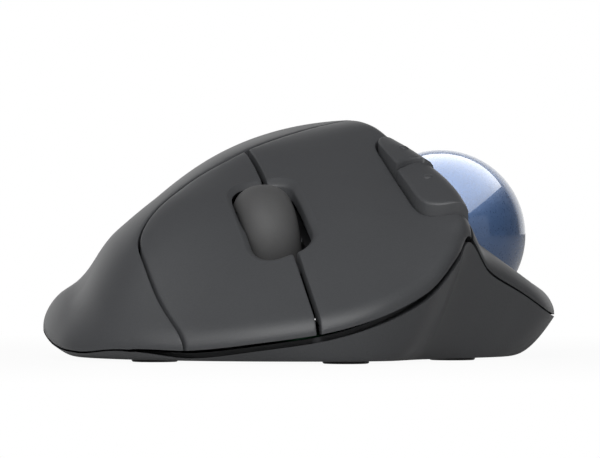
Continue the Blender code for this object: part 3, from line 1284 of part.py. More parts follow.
def finish_materials():
    """One material for each part."""
    shell = ((0.060, 0.063, 0.068), 0.55, 0.0)
    looks = {
        "palm_shell": shell, "left_key": shell, "right_key": shell, "thumb_panel": shell, "base": shell,
        "forward_button": shell, "back_button": shell, "trackball": ((0.045, 0.105, 0.260), 0.12, 0.0),
        "wheel_tyre": ((0.045, 0.045, 0.046), 0.75, 0.0), "wheel_hub": ((0.10, 0.10, 0.10), 0.5, 0.0),
        "ball_cup": ((0.025, 0.025, 0.027), 0.5, 0.0), "key_frame": ((0.04, 0.04, 0.042), 0.6, 0.0),
        "wheel_cradle": ((0.05, 0.05, 0.05), 0.6, 0.0), "sensor_lens": ((0.80, 0.82, 0.84), 0.1, 0.0),
        "battery_door": shell, "power_slider": ((0.05, 0.05, 0.05), 0.5, 0.0),
    }
    steel = ((0.62, 0.62, 0.63), 0.3, 1.0)
    board = ((0.010, 0.090, 0.035), 0.5, 0.0)
    dark = ((0.020, 0.020, 0.022), 0.5, 0.0)
    groups = (("screw", steel), ("axle", steel), ("spring", steel), ("contact", steel), ("board", board),
              ("bead", ((0.85, 0.84, 0.80), 0.15, 0.0)), ("foot", ((0.55, 0.55, 0.56), 0.5, 0.0)),
              ("plunger", ((0.60, 0.10, 0.08), 0.4, 0.0)), ("battery", ((0.55, 0.56, 0.58), 0.35, 0.6)))
    for obj in PARTS.objects:
        look = looks.get(obj.name) or next((value for key, value in groups if key in obj.name), dark)
        obj.data.materials.append(paint(obj.name, *look))


def main():
    """Build every part."""
    loops = panel_outlines()
    make_palm(loops["palm_shell"])
    make_left_key(loops["left_key"])
    make_right_key(loops["right_key"])
    make_thumb_panel(loops["thumb_panel"])
    make_cap("forward_button", loops["forward_button"], FORWARD_RAISE, FORWARD_SWITCH)
    make_cap("back_button", loops["back_button"], BACK_RAISE, BACK_SWITCH)
    make_base()
    make_feet()
    make_battery()
    make_ball_unit()
    make_key_frame()
    make_base_screws()
    make_wheel()
    make_switches()
    make_electronics()
    finish_materials()


for old in list(bpy.data.objects):
    bpy.data.objects.remove(old, do_unlink=True)
PARTS = new_collection("trackball_mouse")
TOOLS = new_collection("tools")
main()
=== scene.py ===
"""Looks of a thumb trackball mouse: moulded shells, pearl ball, rubber wheel and studio.

Each shell is the source's own height field at a finer step, with softened seam edges.
The frame is in metres: +X is the thumb side, -Y the key end, +Z up.
"""

import json
from math import cos, pi, radians, sin, tan

import bmesh
import bpy
import numpy as np
from mathutils import Matrix, Vector
from mathutils.geometry import delaunay_2d_cdt

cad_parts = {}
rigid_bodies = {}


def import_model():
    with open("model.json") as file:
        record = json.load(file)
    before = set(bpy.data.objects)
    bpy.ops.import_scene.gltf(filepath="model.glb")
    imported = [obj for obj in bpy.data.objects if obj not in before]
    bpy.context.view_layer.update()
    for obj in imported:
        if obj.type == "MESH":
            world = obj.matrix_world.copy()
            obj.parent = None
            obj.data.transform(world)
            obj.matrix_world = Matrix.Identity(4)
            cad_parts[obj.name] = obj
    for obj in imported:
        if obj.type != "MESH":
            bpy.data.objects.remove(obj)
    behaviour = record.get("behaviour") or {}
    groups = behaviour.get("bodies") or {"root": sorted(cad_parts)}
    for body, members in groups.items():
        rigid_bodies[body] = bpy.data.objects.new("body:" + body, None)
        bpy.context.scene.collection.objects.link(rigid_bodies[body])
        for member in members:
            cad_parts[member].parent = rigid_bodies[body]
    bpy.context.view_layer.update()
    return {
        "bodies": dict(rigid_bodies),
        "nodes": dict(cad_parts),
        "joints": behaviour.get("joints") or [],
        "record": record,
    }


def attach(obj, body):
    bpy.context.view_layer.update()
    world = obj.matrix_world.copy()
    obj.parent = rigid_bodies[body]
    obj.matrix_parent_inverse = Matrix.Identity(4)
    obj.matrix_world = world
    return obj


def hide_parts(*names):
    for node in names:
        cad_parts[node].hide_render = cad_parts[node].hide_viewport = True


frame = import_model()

# Camera of the photograph: a long lens close to level
VIEW_TARGET = Vector((0.0002, 0.0, 0.0254))
VIEW_DISTANCE = 1.5
VIEW_RISE = radians(0.5)
VIEW_LENS = 450.6

# Softened edges of the seams, steps along outlines, and the small raised marks on the side buttons
SEAM_ROUND = 0.00035
OUTLINE_STEP = 0.0008
MARK_SIZE = (0.0010, 0.0008, 0.00034)
FORWARD_MARK = (0.0252, -0.0312)
BACK_MARK = (0.0207, -0.0186)

# Finish of the visible pieces
SHELL_COLOUR = (0.061, 0.063, 0.067)
RUBBER_COLOUR = (0.085, 0.085, 0.086)
PEARL_DEEP = (0.036, 0.084, 0.200, 1)
PEARL_BRIGHT = (0.066, 0.135, 0.290, 1)
FLAKE_SCALE = 3800.0
PIECE_SHARP = radians(38)

# Studio: light, backdrop seen in reflections, floor and lamps
WORLD_LIGHT = 0.13
GLOSS_DIM = 0.10
BACKDROP_BEHIND = (0.66, 0.80)
BACKDROP_LOW = (0.55, 0.35)
FLOOR_SIZE = 3.0
FLOOR_COLOUR = (0.55, 0.55, 0.55, 1)
FLOOR_GLOW = (0.95, 1.0)
FLOOR_FADE = (0.07, 0.20)
FLOOR_GLOSS = 0.14
LAMPS = (
    ("front_box", (-0.12, -0.85, 0.80), (0.0, 0.0, 0.02), (0.90, 0.60), 10.0),
    ("left_box", (-0.70, -0.40, 0.60), (0.0, 0.0, 0.02), (0.40, 0.50), 1.6),
    ("right_box", (0.65, -0.50, 0.12), (0.02, 0.0, 0.02), (0.50, 0.45), 0.3),
)
GLOSS_CARD = ("gloss_card", (0.0, 0.0, 0.62), (0.0, 0.0, 0.0), (1.60, 1.70), 34.0)

# Walls and clearances
WALL = 0.0020
BASE_WALL = 0.0024
FLOOR = 0.0016
SKIRT = 0.0003
LIP_DROP = 0.0005
LIP_ROOM = 0.0009
LIP_LOW = 0.0001
LIP_GAPS = (0.0006, 0.0012)
SEAT = 0.0003
RUN = 0.0001
PANEL_GAP = 0.0005
KEY_GAP = 0.0010
CAP_GAP = 0.0005
TOUCH = 0.00015
STEEPEST = 1.9

# Feet and floor
FOOT_PROUD = 0.0006
FOOT_SUNK = 0.0005
FOOT_RADIUS = 0.0045
PAD_EDGE = 0.6
PAD_TURNS = np.linspace(0.3, pi / 2, 5)
FEET = [(-0.0280, -0.0420), (0.0090, -0.0560), (0.0300, -0.0285), (-0.0330, 0.0180), (0.0200, 0.0440)]

# Ball, its cup and the opening around it
BALL_RADIUS = 0.0170
BALL_CENTRE = Vector((0.0284, 0.0060, 0.0242))
CUP_TILT = radians(35)
CUP_GAP = 0.0008
CUP_WALL = 0.0016
RING_LIFT = 0.0025
RING_GAP = 0.0007
SEAT_FLAT = 0.0210
SEAT_FADE = 0.0280
EJECT_RADIUS = 0.0027
EJECT_WALL = 0.0018

# Key frame: a tilted deck under the keys
DECK_RISE = 0.0355
DECK_TILT = radians(26.57)
DECK = 0.0020
TOWERS = [(-0.0230, -0.0254), (0.0200, -0.0420), (-0.0024, -0.0084)]
TOWER_RADIUS = 0.0031
FRAME_BOSS = 0.0060
FRAME_SCREW = 0.0100

# Key hinges: half length, pin and ears
HINGE_RISE = 0.0026
BARREL_RADIUS = 0.0015
PIN_RADIUS = 0.0010
EAR = 0.0016
LEFT_HINGE = (0.0062, -0.0062)
LEFT_BARREL = 0.0070
RIGHT_HINGE = (-0.0103, -0.0095)
RIGHT_BARREL = 0.0050
RIGHT_ARM = 0.0045
RISER = 0.0024
RISER_FIT = 0.9
RISER_SHARE = 0.8
ARM_SHARE = 0.56
ARM_SHIFT = 0.2

# Switches under the keys, the wheel and the side buttons
SWITCH = Vector((0.0058, 0.0128, 0.0050))
PLUNGER_PROUD = 0.0009
POST_RADIUS = 0.0014
LEFT_SWITCH = (0.0126, -0.0400)
RIGHT_SWITCH = (-0.0172, -0.0364)
TACT = Vector((0.0060, 0.0060, 0.0036))
TACT_PROUD = 0.0010
FORWARD_SWITCH = (0.0246, -0.0330)
BACK_SWITCH = (0.0192, -0.0180)
PAD_RISE = 0.0024

# Scroll wheel and its cradle
WHEEL_PLACE = (-0.0064, -0.0311)
WHEEL_RISE = 0.0025
WHEEL_YAW = radians(12.7)
WHEEL_RADIUS = 0.0122
WHEEL_WIDTH = 0.0108
TYRE = 0.0048
TYRE_CURVE = 2.2
WHEEL_CLEAR = 0.0007

# Wheel slot in the keys
SLOT_CENTRE = (-0.0051, -0.0382)
SLOT_YAW = radians(14.2)
SLOT_WIDTH = 0.0120
SLOT_LENGTH = 0.0236
SLOT_CORNER = 0.0045
SLOT_BEVEL = 0.0013
SLOT_SLOPE = 0.7

# Side buttons
RIDGE_LIP = 0.0010
CAP_SPLIT = -0.0270
SPLIT_LAP = 0.0060
FORWARD_RAISE = (0.0026, 0.0019)
BACK_RAISE = (0.0030, 0.0006)
CAP_ROUND = 0.0006
CAP_EDGE = 0.0045
CAP_FALL = 0.0026
CAP_DEPTH = 0.0030
STEM_RADIUS = 0.0016

# Posts of the main board and slot of the power slider
BOARD = Vector((0.0280, 0.0360, 0.0014))
BOARD_PLACE = (0.0000, -0.0335)
BOARD_RISE = 0.0018
BOARD_POST = 0.0022
POWER_PLACE = (0.0060, -0.0300)
POWER_KNOB = Vector((0.0050, 0.0030, 0.0011))
POWER_TRAVEL = 0.0030

# Battery, its bay and door
CELL_RADIUS = 0.0071
CELL_LENGTH = 0.0495
CELL_NUB = 0.0010
CELL_MIDDLE = (-0.0160, 0.0205)
BAY_GAP = 0.0006
BAY_WALL = 0.0014
BAY_HEIGHT = 0.0090
SPRING_ROOM = 0.0048
CONTACT = Vector((0.0090, 0.0004, 0.0090))
DOOR_GAP = 0.0004
TAB = Vector((0.0040, 0.0050, 0.0010))

# Screws from below
SCREWS = [(-0.0370, -0.0060), (-0.0310, 0.0320), (0.0060, 0.0500), (0.0355, -0.0215), (0.0280, 0.0380)]
SCREW_RADIUS = 0.0012
SCREW_HEAD = 0.0024
SCREW_HEAD_HEIGHT = 0.0016
SCREW_LENGTH = 0.0085
SCREW_CUP = 0.0036
SCREW_CUP_WALL = 0.0014
HEAD_END = 0.72
RECESS_SHARE = 0.28
RECESS_REACH = 3.6
BOSS_RADIUS = 0.0026

# Rim stations: place, edge radius, place of the foot below, gap down to the base
RIM = [
    (0.0045, -0.0670, 0.0023, 0.0040, -0.0653, 0.0015),
    (0.0157, -0.0647, 0.0023, 0.0125, -0.0636, 0.0015),
    (0.0250, -0.0584, 0.0023, 0.0176, -0.0602, 0.0015),
    (0.0302, -0.0515, 0.0023, 0.0203, -0.0552, 0.0015),
    (0.0326, -0.0455, 0.0026, 0.0228, -0.0500, 0.0012),
    (0.0366, -0.0380, 0.0030, 0.0280, -0.0430, 0.0006),
    (0.0436, -0.0280, 0.0030, 0.0350, -0.0355, 0.0004),
    (0.0489, -0.0190, 0.0030, 0.0402, -0.0270, 0.0004),
    (0.0507, -0.0080, 0.0030, 0.0426, -0.0140, 0.0004),
    (0.0502, 0.0060, 0.0030, 0.0426, 0.0030, 0.0004), (0.0478, 0.0220, 0.0030, 0.0406, 0.0195, 0.0004),
    (0.0424, 0.0380, 0.0030, 0.0360, 0.0345, 0.0004), (0.0327, 0.0527, 0.0030, 0.0275, 0.0480, 0.0004),
    (0.0170, 0.0635, 0.0030, 0.0145, 0.0580, 0.0004),
    (-0.0010, 0.0670, 0.0030, -0.0010, 0.0610, 0.0004),
    (-0.0185, 0.0635, 0.0032, -0.0165, 0.0575, 0.0004),
    (-0.0333, 0.0535, 0.0036, -0.0290, 0.0480, 0.0004),
    (-0.0436, 0.0375, 0.0040, -0.0378, 0.0335, 0.0004),
    (-0.0488, 0.0190, 0.0042, -0.0425, 0.0170, 0.0004),
    (-0.0506, 0.0000, 0.0042, -0.0442, -0.0010, 0.0004),
    (-0.0504, -0.0160, 0.0042, -0.0445, -0.0170, 0.0004),
    (-0.0480, -0.0305, 0.0040, -0.0428, -0.0310, 0.0004),
    (-0.0434, -0.0420, 0.0034, -0.0385, -0.0415, 0.0004),
    (-0.0340, -0.0530, 0.0024, -0.0310, -0.0515, 0.0004),
    (-0.0218, -0.0615, 0.0020, -0.0200, -0.0598, 0.0015),
    (-0.0094, -0.0659, 0.0022, -0.0086, -0.0640, 0.0015),
]

# Heights that the crown of the body passes through
CROWN = [
    (-0.0340, -0.0530, 0.0050), (-0.0218, -0.0615, 0.0049), (-0.0094, -0.0659, 0.0064),
    (0.0045, -0.0670, 0.0085), (0.0157, -0.0647, 0.0117), (0.0250, -0.0584, 0.0165),
    (0.0302, -0.0515, 0.0225), (0.0324, -0.0460, 0.0265), (-0.0432, -0.0420, 0.0060),
    (-0.0268, -0.0520, 0.0122), (-0.0299, -0.0440, 0.0194), (-0.0310, -0.0380, 0.0236),
    (-0.0282, -0.0305, 0.0292), (-0.0195, -0.0185, 0.0362), (-0.0103, -0.0110, 0.0412),
    (0.0062, 0.0030, 0.0465), (-0.0004, -0.0510, 0.0208), (-0.0110, -0.0390, 0.0280),
    (0.0030, -0.0390, 0.0295), (0.0150, -0.0420, 0.0284), (0.0226, -0.0400, 0.0289),
    (0.0290, -0.0410, 0.0287), (-0.0065, -0.0260, 0.0350), (0.0080, -0.0270, 0.0362),
    (0.0190, -0.0270, 0.0354), (0.0270, -0.0270, 0.0360), (0.0152, -0.0140, 0.0422),
    (0.0215, -0.0160, 0.0414), (0.0160, -0.0050, 0.0462), (0.0310, -0.0360, 0.0318),
    (0.0110, 0.0040, 0.0472), (0.0090, 0.0120, 0.0470), (0.0040, 0.0200, 0.0458),
    (0.0000, 0.0320, 0.0425), (-0.0347, -0.0030, 0.0262), (-0.0297, -0.0010, 0.0304),
    (-0.0198, 0.0020, 0.0382), (-0.0098, 0.0050, 0.0430), (-0.0360, 0.0220, 0.0240),
    (-0.0250, 0.0260, 0.0335), (0.0130, 0.0320, 0.0400), (0.0000, 0.0480, 0.0335),
    (-0.0200, 0.0440, 0.0280), (0.0180, 0.0460, 0.0285), (0.0000, 0.0590, 0.0215),
    (-0.0290, 0.0460, 0.0190), (0.0270, 0.0460, 0.0195), (-0.0010, 0.0670, 0.0090),
    (-0.0185, 0.0635, 0.0090), (0.0170, 0.0635, 0.0090), (-0.0330, 0.0535, 0.0093),
    (0.0325, 0.0525, 0.0095),
]

# Heights of the thumb wing and the pinky ledge
FLANGE = [
    (-0.0504, -0.0160, 0.0100), (-0.0446, -0.0120, 0.0144), (-0.0405, -0.0120, 0.0168),
    (-0.0480, -0.0305, 0.0076), (-0.0428, -0.0290, 0.0110), (-0.0434, -0.0420, 0.0058),
    (-0.0375, -0.0400, 0.0085), (-0.0340, -0.0530, 0.0044), (-0.0218, -0.0615, 0.0020),
    (-0.0506, 0.0000, 0.0107), (-0.0484, 0.0000, 0.0121), (-0.0445, 0.0000, 0.0147),
    (-0.0414, 0.0000, 0.0164), (-0.0488, 0.0190, 0.0106), (-0.0430, 0.0180, 0.0140),
    (-0.0436, 0.0375, 0.0098), (-0.0384, 0.0340, 0.0125), (-0.0333, 0.0535, 0.0085),
    (-0.0010, 0.0670, 0.0075), (0.0170, 0.0635, 0.0080), (0.0327, 0.0527, 0.0095),
    (0.0424, 0.0380, 0.0108), (0.0478, 0.0220, 0.0124), (0.0502, 0.0060, 0.0121),
    (0.0507, -0.0080, 0.0118), (0.0489, -0.0190, 0.0129), (0.0436, -0.0280, 0.0167),
    (0.0366, -0.0380, 0.0216), (0.0326, -0.0455, 0.0266), (0.0330, -0.0300, 0.0243),
    (0.0320, 0.0400, 0.0175), (0.0240, 0.0440, 0.0190), (0.0440, 0.0060, 0.0164),
    (0.0299, 0.0060, 0.0262), (0.0157, 0.0060, 0.0362), (0.0370, -0.0140, 0.0213),
    (0.0220, -0.0090, 0.0318), (0.0300, 0.0240, 0.0255), (0.0200, 0.0180, 0.0330),
    (0.0045, -0.0670, -0.0100), (0.0300, -0.0515, 0.0150),
]

# Ridge lines where the crown falls to the thumb wing and to the pinky ledge
THUMB_RIDGE = [
    (0.0330, -0.0600), (0.0333, -0.0520), (0.0330, -0.0460), (0.0320, -0.0405), (0.0306, -0.0355),
    (0.0286, -0.0300), (0.0260, -0.0245), (0.0234, -0.0195), (0.0204, -0.0140), (0.0170, -0.0075),
    (0.0140, -0.0015), (0.0116, 0.0050), (0.0110, 0.0130), (0.0126, 0.0220), (0.0158, 0.0320),
    (0.0180, 0.0420), (0.0180, 0.0520), (0.0150, 0.0660), (0.0130, 0.0740),
]
PINKY_RIDGE = [
    (-0.0200, 0.0600), (-0.0330, 0.0430), (-0.0375, 0.0240), (-0.0386, 0.0050), (-0.0386, -0.0080),
    (-0.0382, -0.0250), (-0.0370, -0.0400), (-0.0330, -0.0520),
]
THUMB_EDGE = 0.0016
PINKY_EDGE = 0.0025
THUMB_FALL = ((0, 0.1, 0.2, 0.5, 0.7, 1), (1.2, 2.2, 3.2, 3.2, 1.4, 0.2))
PINKY_FALL = ((0, 0.3, 0.75, 1), (0.1, 0.9, 0.9, 0.1))
BLEND = 0.0030

# Seams: keys against palm, key against key, notch of the side buttons, and the line between those
PALM_SEAM = [
    (-0.0196, -0.0670), (-0.0218, -0.0615), (-0.0268, -0.0520), (-0.0299, -0.0440), (-0.0311, -0.0385),
    (-0.0303, -0.0345), (-0.0282, -0.0305), (-0.0244, -0.0250), (-0.0195, -0.0185), (-0.0103, -0.0110),
    (-0.0010, -0.0035), (0.0062, 0.0022), (0.0110, 0.0050), (0.0160, 0.0070),
]
KEY_SEAM = [
    (0.0046, -0.0700), (0.0036, -0.0660), (-0.0004, -0.0510), (-0.0037, -0.0385), (-0.0067, -0.0260),
    (-0.0112, -0.0080),
]
NOTCH = [
    (0.0370, -0.0412), (0.0320, -0.0416), (0.0276, -0.0420), (0.0245, -0.0410), (0.0224, -0.0382),
    (0.0208, -0.0335), (0.0190, -0.0275), (0.0170, -0.0215), (0.0153, -0.0158), (0.0154, -0.0128),
    (0.0172, -0.0113), (0.0240, -0.0085),
]
CAP_SEAM = [
    (0.0360, -0.0240), (0.0270, -0.0240), (0.0228, -0.0242), (0.0196, -0.0262), (0.0150, -0.0300),
]

# Mesh steps, sides of round pieces, and where the fine lines run beside edges
PITCH = 0.0011
CAP_PITCH = 0.0005
BATCH = 3000
RIM_STEPS = 10
RIDGE_STEPS = 8
SEAM_STEPS = 10
CORNER_STEPS = 13
TYRE_STEPS = 20
ROOM_STEPS = 16
BASE_STEPS = 19
INNER_SKIP = 6
WHEEL_SIDES = 96
BALL_SIDES = 128
OPENING_SIDES = 128
HEAD_SIDES = 36
SHANK_SIDES = 24
CUP_SIDES = 12
PAD_SIDES = 48
ROUND = 32
RIM_LINES = (0.02, 0.07, 0.15, 0.26, 0.40, 0.58, 0.80)
SEAM_LINES = (0.12, 0.4, 1.0)
SLOT_LINES = (0.5, 0.9, 1.0, 1.1)
SLOT_MARGIN = 0.0004
CAP_LINES = np.array([0.05, 0.2, 0.5, 1.0])
FALL_LINES = (0.03, 0.09, 0.18, 0.3, 0.5, 0.75, 1.0)
MARK_LINES = (0.4, 0.75, 0.93, 1.0, 1.1)
MARK_MARGIN = 0.0001
LINE_MARGIN = 0.8
SEAM_MARGIN = 0.7

# Grid rows and the room kept beside edges and points, in steps; least distances
ROW_STEP = 0.87
EDGE_ROOM = 0.5
POINT_ROOM = 0.6
LEAST_STEP = 0.00006
ON_RIM = 2e-5
SLOPE_STEP = 0.0002
FARTHEST = 0.04
REACH_STEP = 0.0001

# Curve of the base's wall between the rim and the foot
BASE_BEND = 0.42
BASE_RISE = 0.06

IDENTITY = Matrix.Identity(4)
FLOOR_TOP = FOOT_PROUD + FLOOR
CUP_INNER = BALL_RADIUS + CUP_GAP
CUP_OUTER = CUP_INNER + CUP_WALL
CUP_FRAME = Matrix.Translation(BALL_CENTRE) @ Matrix.Rotation(CUP_TILT, 4, "Y")
RING_CENTRE = CUP_FRAME @ Vector((0, 0, RING_LIFT))
CUP_TOP = RING_LIFT - WALL - SEAT
DECK_FRAME = Matrix.Translation((0, 0, DECK_RISE)) @ Matrix.Rotation(DECK_TILT, 4, "X")


def on_deck(place, lift=0.0, turn=0.0):
    """Frame on the deck's top above a plan place."""
    local = Matrix.Translation((place[0], place[1] / cos(DECK_TILT), lift))
    return DECK_FRAME @ local @ Matrix.Rotation(turn, 4, "Z")


WHEEL_FRAME = on_deck(WHEEL_PLACE, WHEEL_RISE, WHEEL_YAW)
AXLE_FRAME = WHEEL_FRAME @ Matrix.Rotation(pi / 2, 4, "Y")


# Curves and height fields

def catmull(points, per, closed=False):
    """Smooth curve through points, with a number of steps between neighbours."""
    p = np.asarray(points, float)
    p = np.vstack([p[-1:], p, p[:2]]) if closed else np.vstack([2 * p[0] - p[1], p, 2 * p[-1] - p[-2]])
    t = np.arange(per)[:, None] / per
    runs = []
    for a, b, c, d in zip(p, p[1:], p[2:], p[3:]):
        runs.append(b + 0.5 * t * (c - a + t * (2 * a - 5 * b + 4 * c - d + t * (3 * (b - c) + d - a))))
    if not closed:
        runs.append(p[-2:-1])
    return np.vstack(runs)


def thin_plate(points):
    """Smoothest height field through points."""
    p = np.asarray(points, float)

    def kernel(x, y):
        r2 = (np.ravel(x)[:, None] - p[:, 0]) ** 2 + (np.ravel(y)[:, None] - p[:, 1]) ** 2
        return r2 * np.log(r2 + 1e-14)

    def flat(x, y):
        return np.column_stack([np.ones(np.size(x)), np.ravel(x), np.ravel(y)])

    side = flat(p[:, 0], p[:, 1])
    system = np.block([[kernel(p[:, 0], p[:, 1]), side], [side.T, np.zeros((3, 3))]])
    weight = np.linalg.solve(system, np.append(p[:, 2], np.zeros(3)))
    return lambda x, y: kernel(x, y) @ weight[:-3] + flat(x, y) @ weight[-3:]


def nearest(path, x, y):
    """Distance to a path, positive on its left, and the share of the way along it."""
    start = path[:-1, :2]
    step = np.diff(path[:, :2], axis=0)
    length = np.hypot(step[:, 0], step[:, 1])
    along = np.append(0, np.cumsum(length))
    offset = np.column_stack([np.ravel(x), np.ravel(y)])[:, None] - start
    part = np.clip((offset * step).sum(2) / length ** 2, 0, 1)
    away = offset - part[..., None] * step
    distance = np.hypot(away[..., 0], away[..., 1])
    k = distance.argmin(1)
    i = np.arange(len(k))
    side = np.where(step[k, 0] * offset[i, k, 1] < step[k, 1] * offset[i, k, 0], -1, 1)
    return side * distance[i, k], (along[k] + part[i, k] * length[k]) / along[-1]


def smooth_max(a, b, k):
    """The larger of two heights, blended where they are close."""
    h = np.clip(0.5 + 0.5 * (a - b) / k, 0, 1)
    return b + (a - b) * h + k * h * (1 - h)


def soft_ramp(d, r):
    """Zero below -r, d above r, with a round bend between."""
    return np.where(d < -r, 0, np.where(d > r, d, (d + r) ** 2 / (4 * r)))


def smooth_step(t):
    """Zero to one with level ends."""
    t = np.clip(t, 0, 1)
    return t * t * (3 - 2 * t)


def rounding(d, r):
    """How far a round edge has dropped at distance d from it."""
    t = np.clip(1 - d / r, 0, 1)
    return r * (1 - np.sqrt(1 - t * t))


def shifted(path, distance):
    """Path moved sideways, to its left."""
    step = np.gradient(path[:, :2], axis=0)
    normal = np.column_stack([-step[:, 1], step[:, 0]]) / np.hypot(step[:, 0], step[:, 1])[:, None]
    return path[:, :2] + np.reshape(distance, (-1, 1)) * normal


def loop_normals(loop):
    """Inward unit normals of a closed outline that runs to the left."""
    step = np.roll(loop, -1, 0) - np.roll(loop, 1, 0)
    return np.column_stack([-step[:, 1], step[:, 0]]) / np.hypot(step[:, 0], step[:, 1])[:, None]


def rounded_slot():
    """Outline of the wheel slot, running to the left."""
    reach = np.array([SLOT_WIDTH / 2 - SLOT_CORNER, SLOT_LENGTH / 2 - SLOT_CORNER])
    turn = np.array([[cos(SLOT_YAW), -sin(SLOT_YAW)], [sin(SLOT_YAW), cos(SLOT_YAW)]])
    points = []
    for quarter, signs in enumerate([(1, 1), (-1, 1), (-1, -1), (1, -1)]):
        for angle in np.linspace(0, pi / 2, CORNER_STEPS) + quarter * pi / 2:
            points.append(reach * signs + SLOT_CORNER * np.array([cos(angle), sin(angle)]))
    return np.array(points) @ turn.T + SLOT_CENTRE


def evenly(loop, step):
    """Closed outline with points at an even step."""
    places = []
    for a, b in zip(loop, np.roll(loop, -1, 0)):
        count = int(np.ceil(np.hypot(*(b - a)) / step))
        places.extend(a + (b - a) * np.arange(count)[:, None] / count)
    return np.array(places)


crown = thin_plate(CROWN)
flange = thin_plate(FLANGE)
THUMB_LINE = catmull(THUMB_RIDGE, RIDGE_STEPS)
PINKY_LINE = catmull(PINKY_RIDGE, RIDGE_STEPS)
RIM_LINE = catmull(RIM, RIM_STEPS, closed=True)
RIM_LOOP = np.vstack([RIM_LINE, RIM_LINE[:1]])
SLOT_LOOP = rounded_slot()
SLOT_RING = np.vstack([SLOT_LOOP, SLOT_LOOP[:1]])


def thumb_face(x, y):
    """Height of the wing and ledge, flattened to a tilted plane around the ball."""
    plane = RING_CENTRE.z - tan(CUP_TILT) * (x - RING_CENTRE.x)
    away = np.hypot((x - RING_CENTRE.x) / cos(CUP_TILT), y - RING_CENTRE.y)
    flat = smooth_step((SEAT_FADE - away) / (SEAT_FADE - SEAT_FLAT))
    return flange(x, y) * (1 - flat) + plane * flat


def skin(x, y):
    """Height of the body before its edges are rounded."""
    thumb, thumb_share = nearest(THUMB_LINE, x, y)
    pinky, pinky_share = nearest(PINKY_LINE, x, y)
    top = crown(x, y)
    top = top - np.interp(thumb_share, *THUMB_FALL) * soft_ramp(-thumb, THUMB_EDGE)
    top = top - np.interp(pinky_share, *PINKY_FALL) * soft_ramp(-pinky, PINKY_EDGE)
    return smooth_max(top, thumb_face(np.ravel(x), np.ravel(y)), BLEND)


RIM_SEAM = skin(RIM_LOOP[:, 0], RIM_LOOP[:, 1]) - RIM_LOOP[:, 2] - SKIRT


def rim_at(x, y):
    """Distance inside the rim, with the edge radius and the seam height of the nearest rim."""
    distance, share = nearest(RIM_LOOP, x, y)
    step = np.hypot(*np.diff(RIM_LOOP[:, :2], axis=0).T)
    shares = np.append(0, np.cumsum(step)) / step.sum()
    return distance, np.interp(share, shares, RIM_LOOP[:, 2]), np.interp(share, shares, RIM_SEAM)


def outer(x, y):
    """Outside height of the shells, with the round rim and the bevelled wheel slot."""
    distance, radius, _ = rim_at(x, y)
    slot = -nearest(SLOT_RING, x, y)[0]
    return skin(x, y) - rounding(distance, radius) - np.clip(SLOT_BEVEL - np.abs(slot), 0, None) * SLOT_SLOPE


def inner(x, y):
    """Inside height of the shells, with a skirt along the rim."""
    h = SLOPE_STEP
    slope_x = (skin(x + h, y) - skin(x - h, y)) / (2 * h)
    slope_y = (skin(x, y + h) - skin(x, y - h)) / (2 * h)
    thick = WALL * np.minimum(np.sqrt(1 + slope_x ** 2 + slope_y ** 2), STEEPEST)
    distance, _, seam = rim_at(x, y)
    return np.where(distance < WALL + 1e-5, seam, outer(x, y) - thick)


# Plan outlines

def crossing(a, b):
    """Where path a last meets path b: place along each, and the point."""
    p, r = a[:-1, None, :2], np.diff(a[:, :2], axis=0)[:, None]
    q, s = b[None, :-1, :2], np.diff(b[:, :2], axis=0)[None]
    cross = r[..., 0] * s[..., 1] - r[..., 1] * s[..., 0]
    cross = np.where(np.abs(cross) < 1e-15, 1e-15, cross)
    gap = q - p
    t = (gap[..., 0] * s[..., 1] - gap[..., 1] * s[..., 0]) / cross
    u = (gap[..., 0] * r[..., 1] - gap[..., 1] * r[..., 0]) / cross
    i, j = np.argwhere((t >= 0) & (t < 1) & (u >= 0) & (u < 1))[-1]
    return i + t[i, j], j + u[i, j], a[i, :2] + t[i, j] * np.diff(a[:, :2], axis=0)[i]


def outline(*paths):
    """Closed outline from paths that each meet the next, running to the left."""
    paths = [np.asarray(path)[:, :2] for path in paths]
    meets = [crossing(a, b) for a, b in zip(paths, paths[1:] + paths[:1])]
    loop = []
    for path, before, after in zip(paths, meets[-1:] + meets[:-1], meets):
        loop.append(before[2])
        loop.extend(path[int(before[1]) + 1:int(np.ceil(after[0]))])
    loop = np.array(loop)
    keep = np.hypot(*(loop - np.roll(loop, 1, 0)).T) > LEAST_STEP
    return loop[keep]


def rim_run(start, end):
    """Stretch of the rim that runs past two plan places."""
    first = np.hypot(*(RIM_LINE[:, :2] - start).T).argmin() - RIM_STEPS * 2
    last = np.hypot(*(RIM_LINE[:, :2] - end).T).argmin() + RIM_STEPS * 2
    count = (last - first) % len(RIM_LINE)
    return RIM_LINE[(first + np.arange(count + 1)) % len(RIM_LINE), :2]


def split_at(path, y, lap=SPLIT_LAP):
    """The front and rear stretches of a path that runs rearwards, lapping a little."""
    return path[path[:, 1] < y + lap], path[path[:, 1] > y - lap]


def half_loop(loop, start):
    """Half of a closed outline and a little more, run backwards to a start."""
    lap = len(loop) // 10
    count = len(loop) // 2 + 1 + 2 * lap
    return loop[(start - lap + np.arange(count)) % len(loop)][::-1]


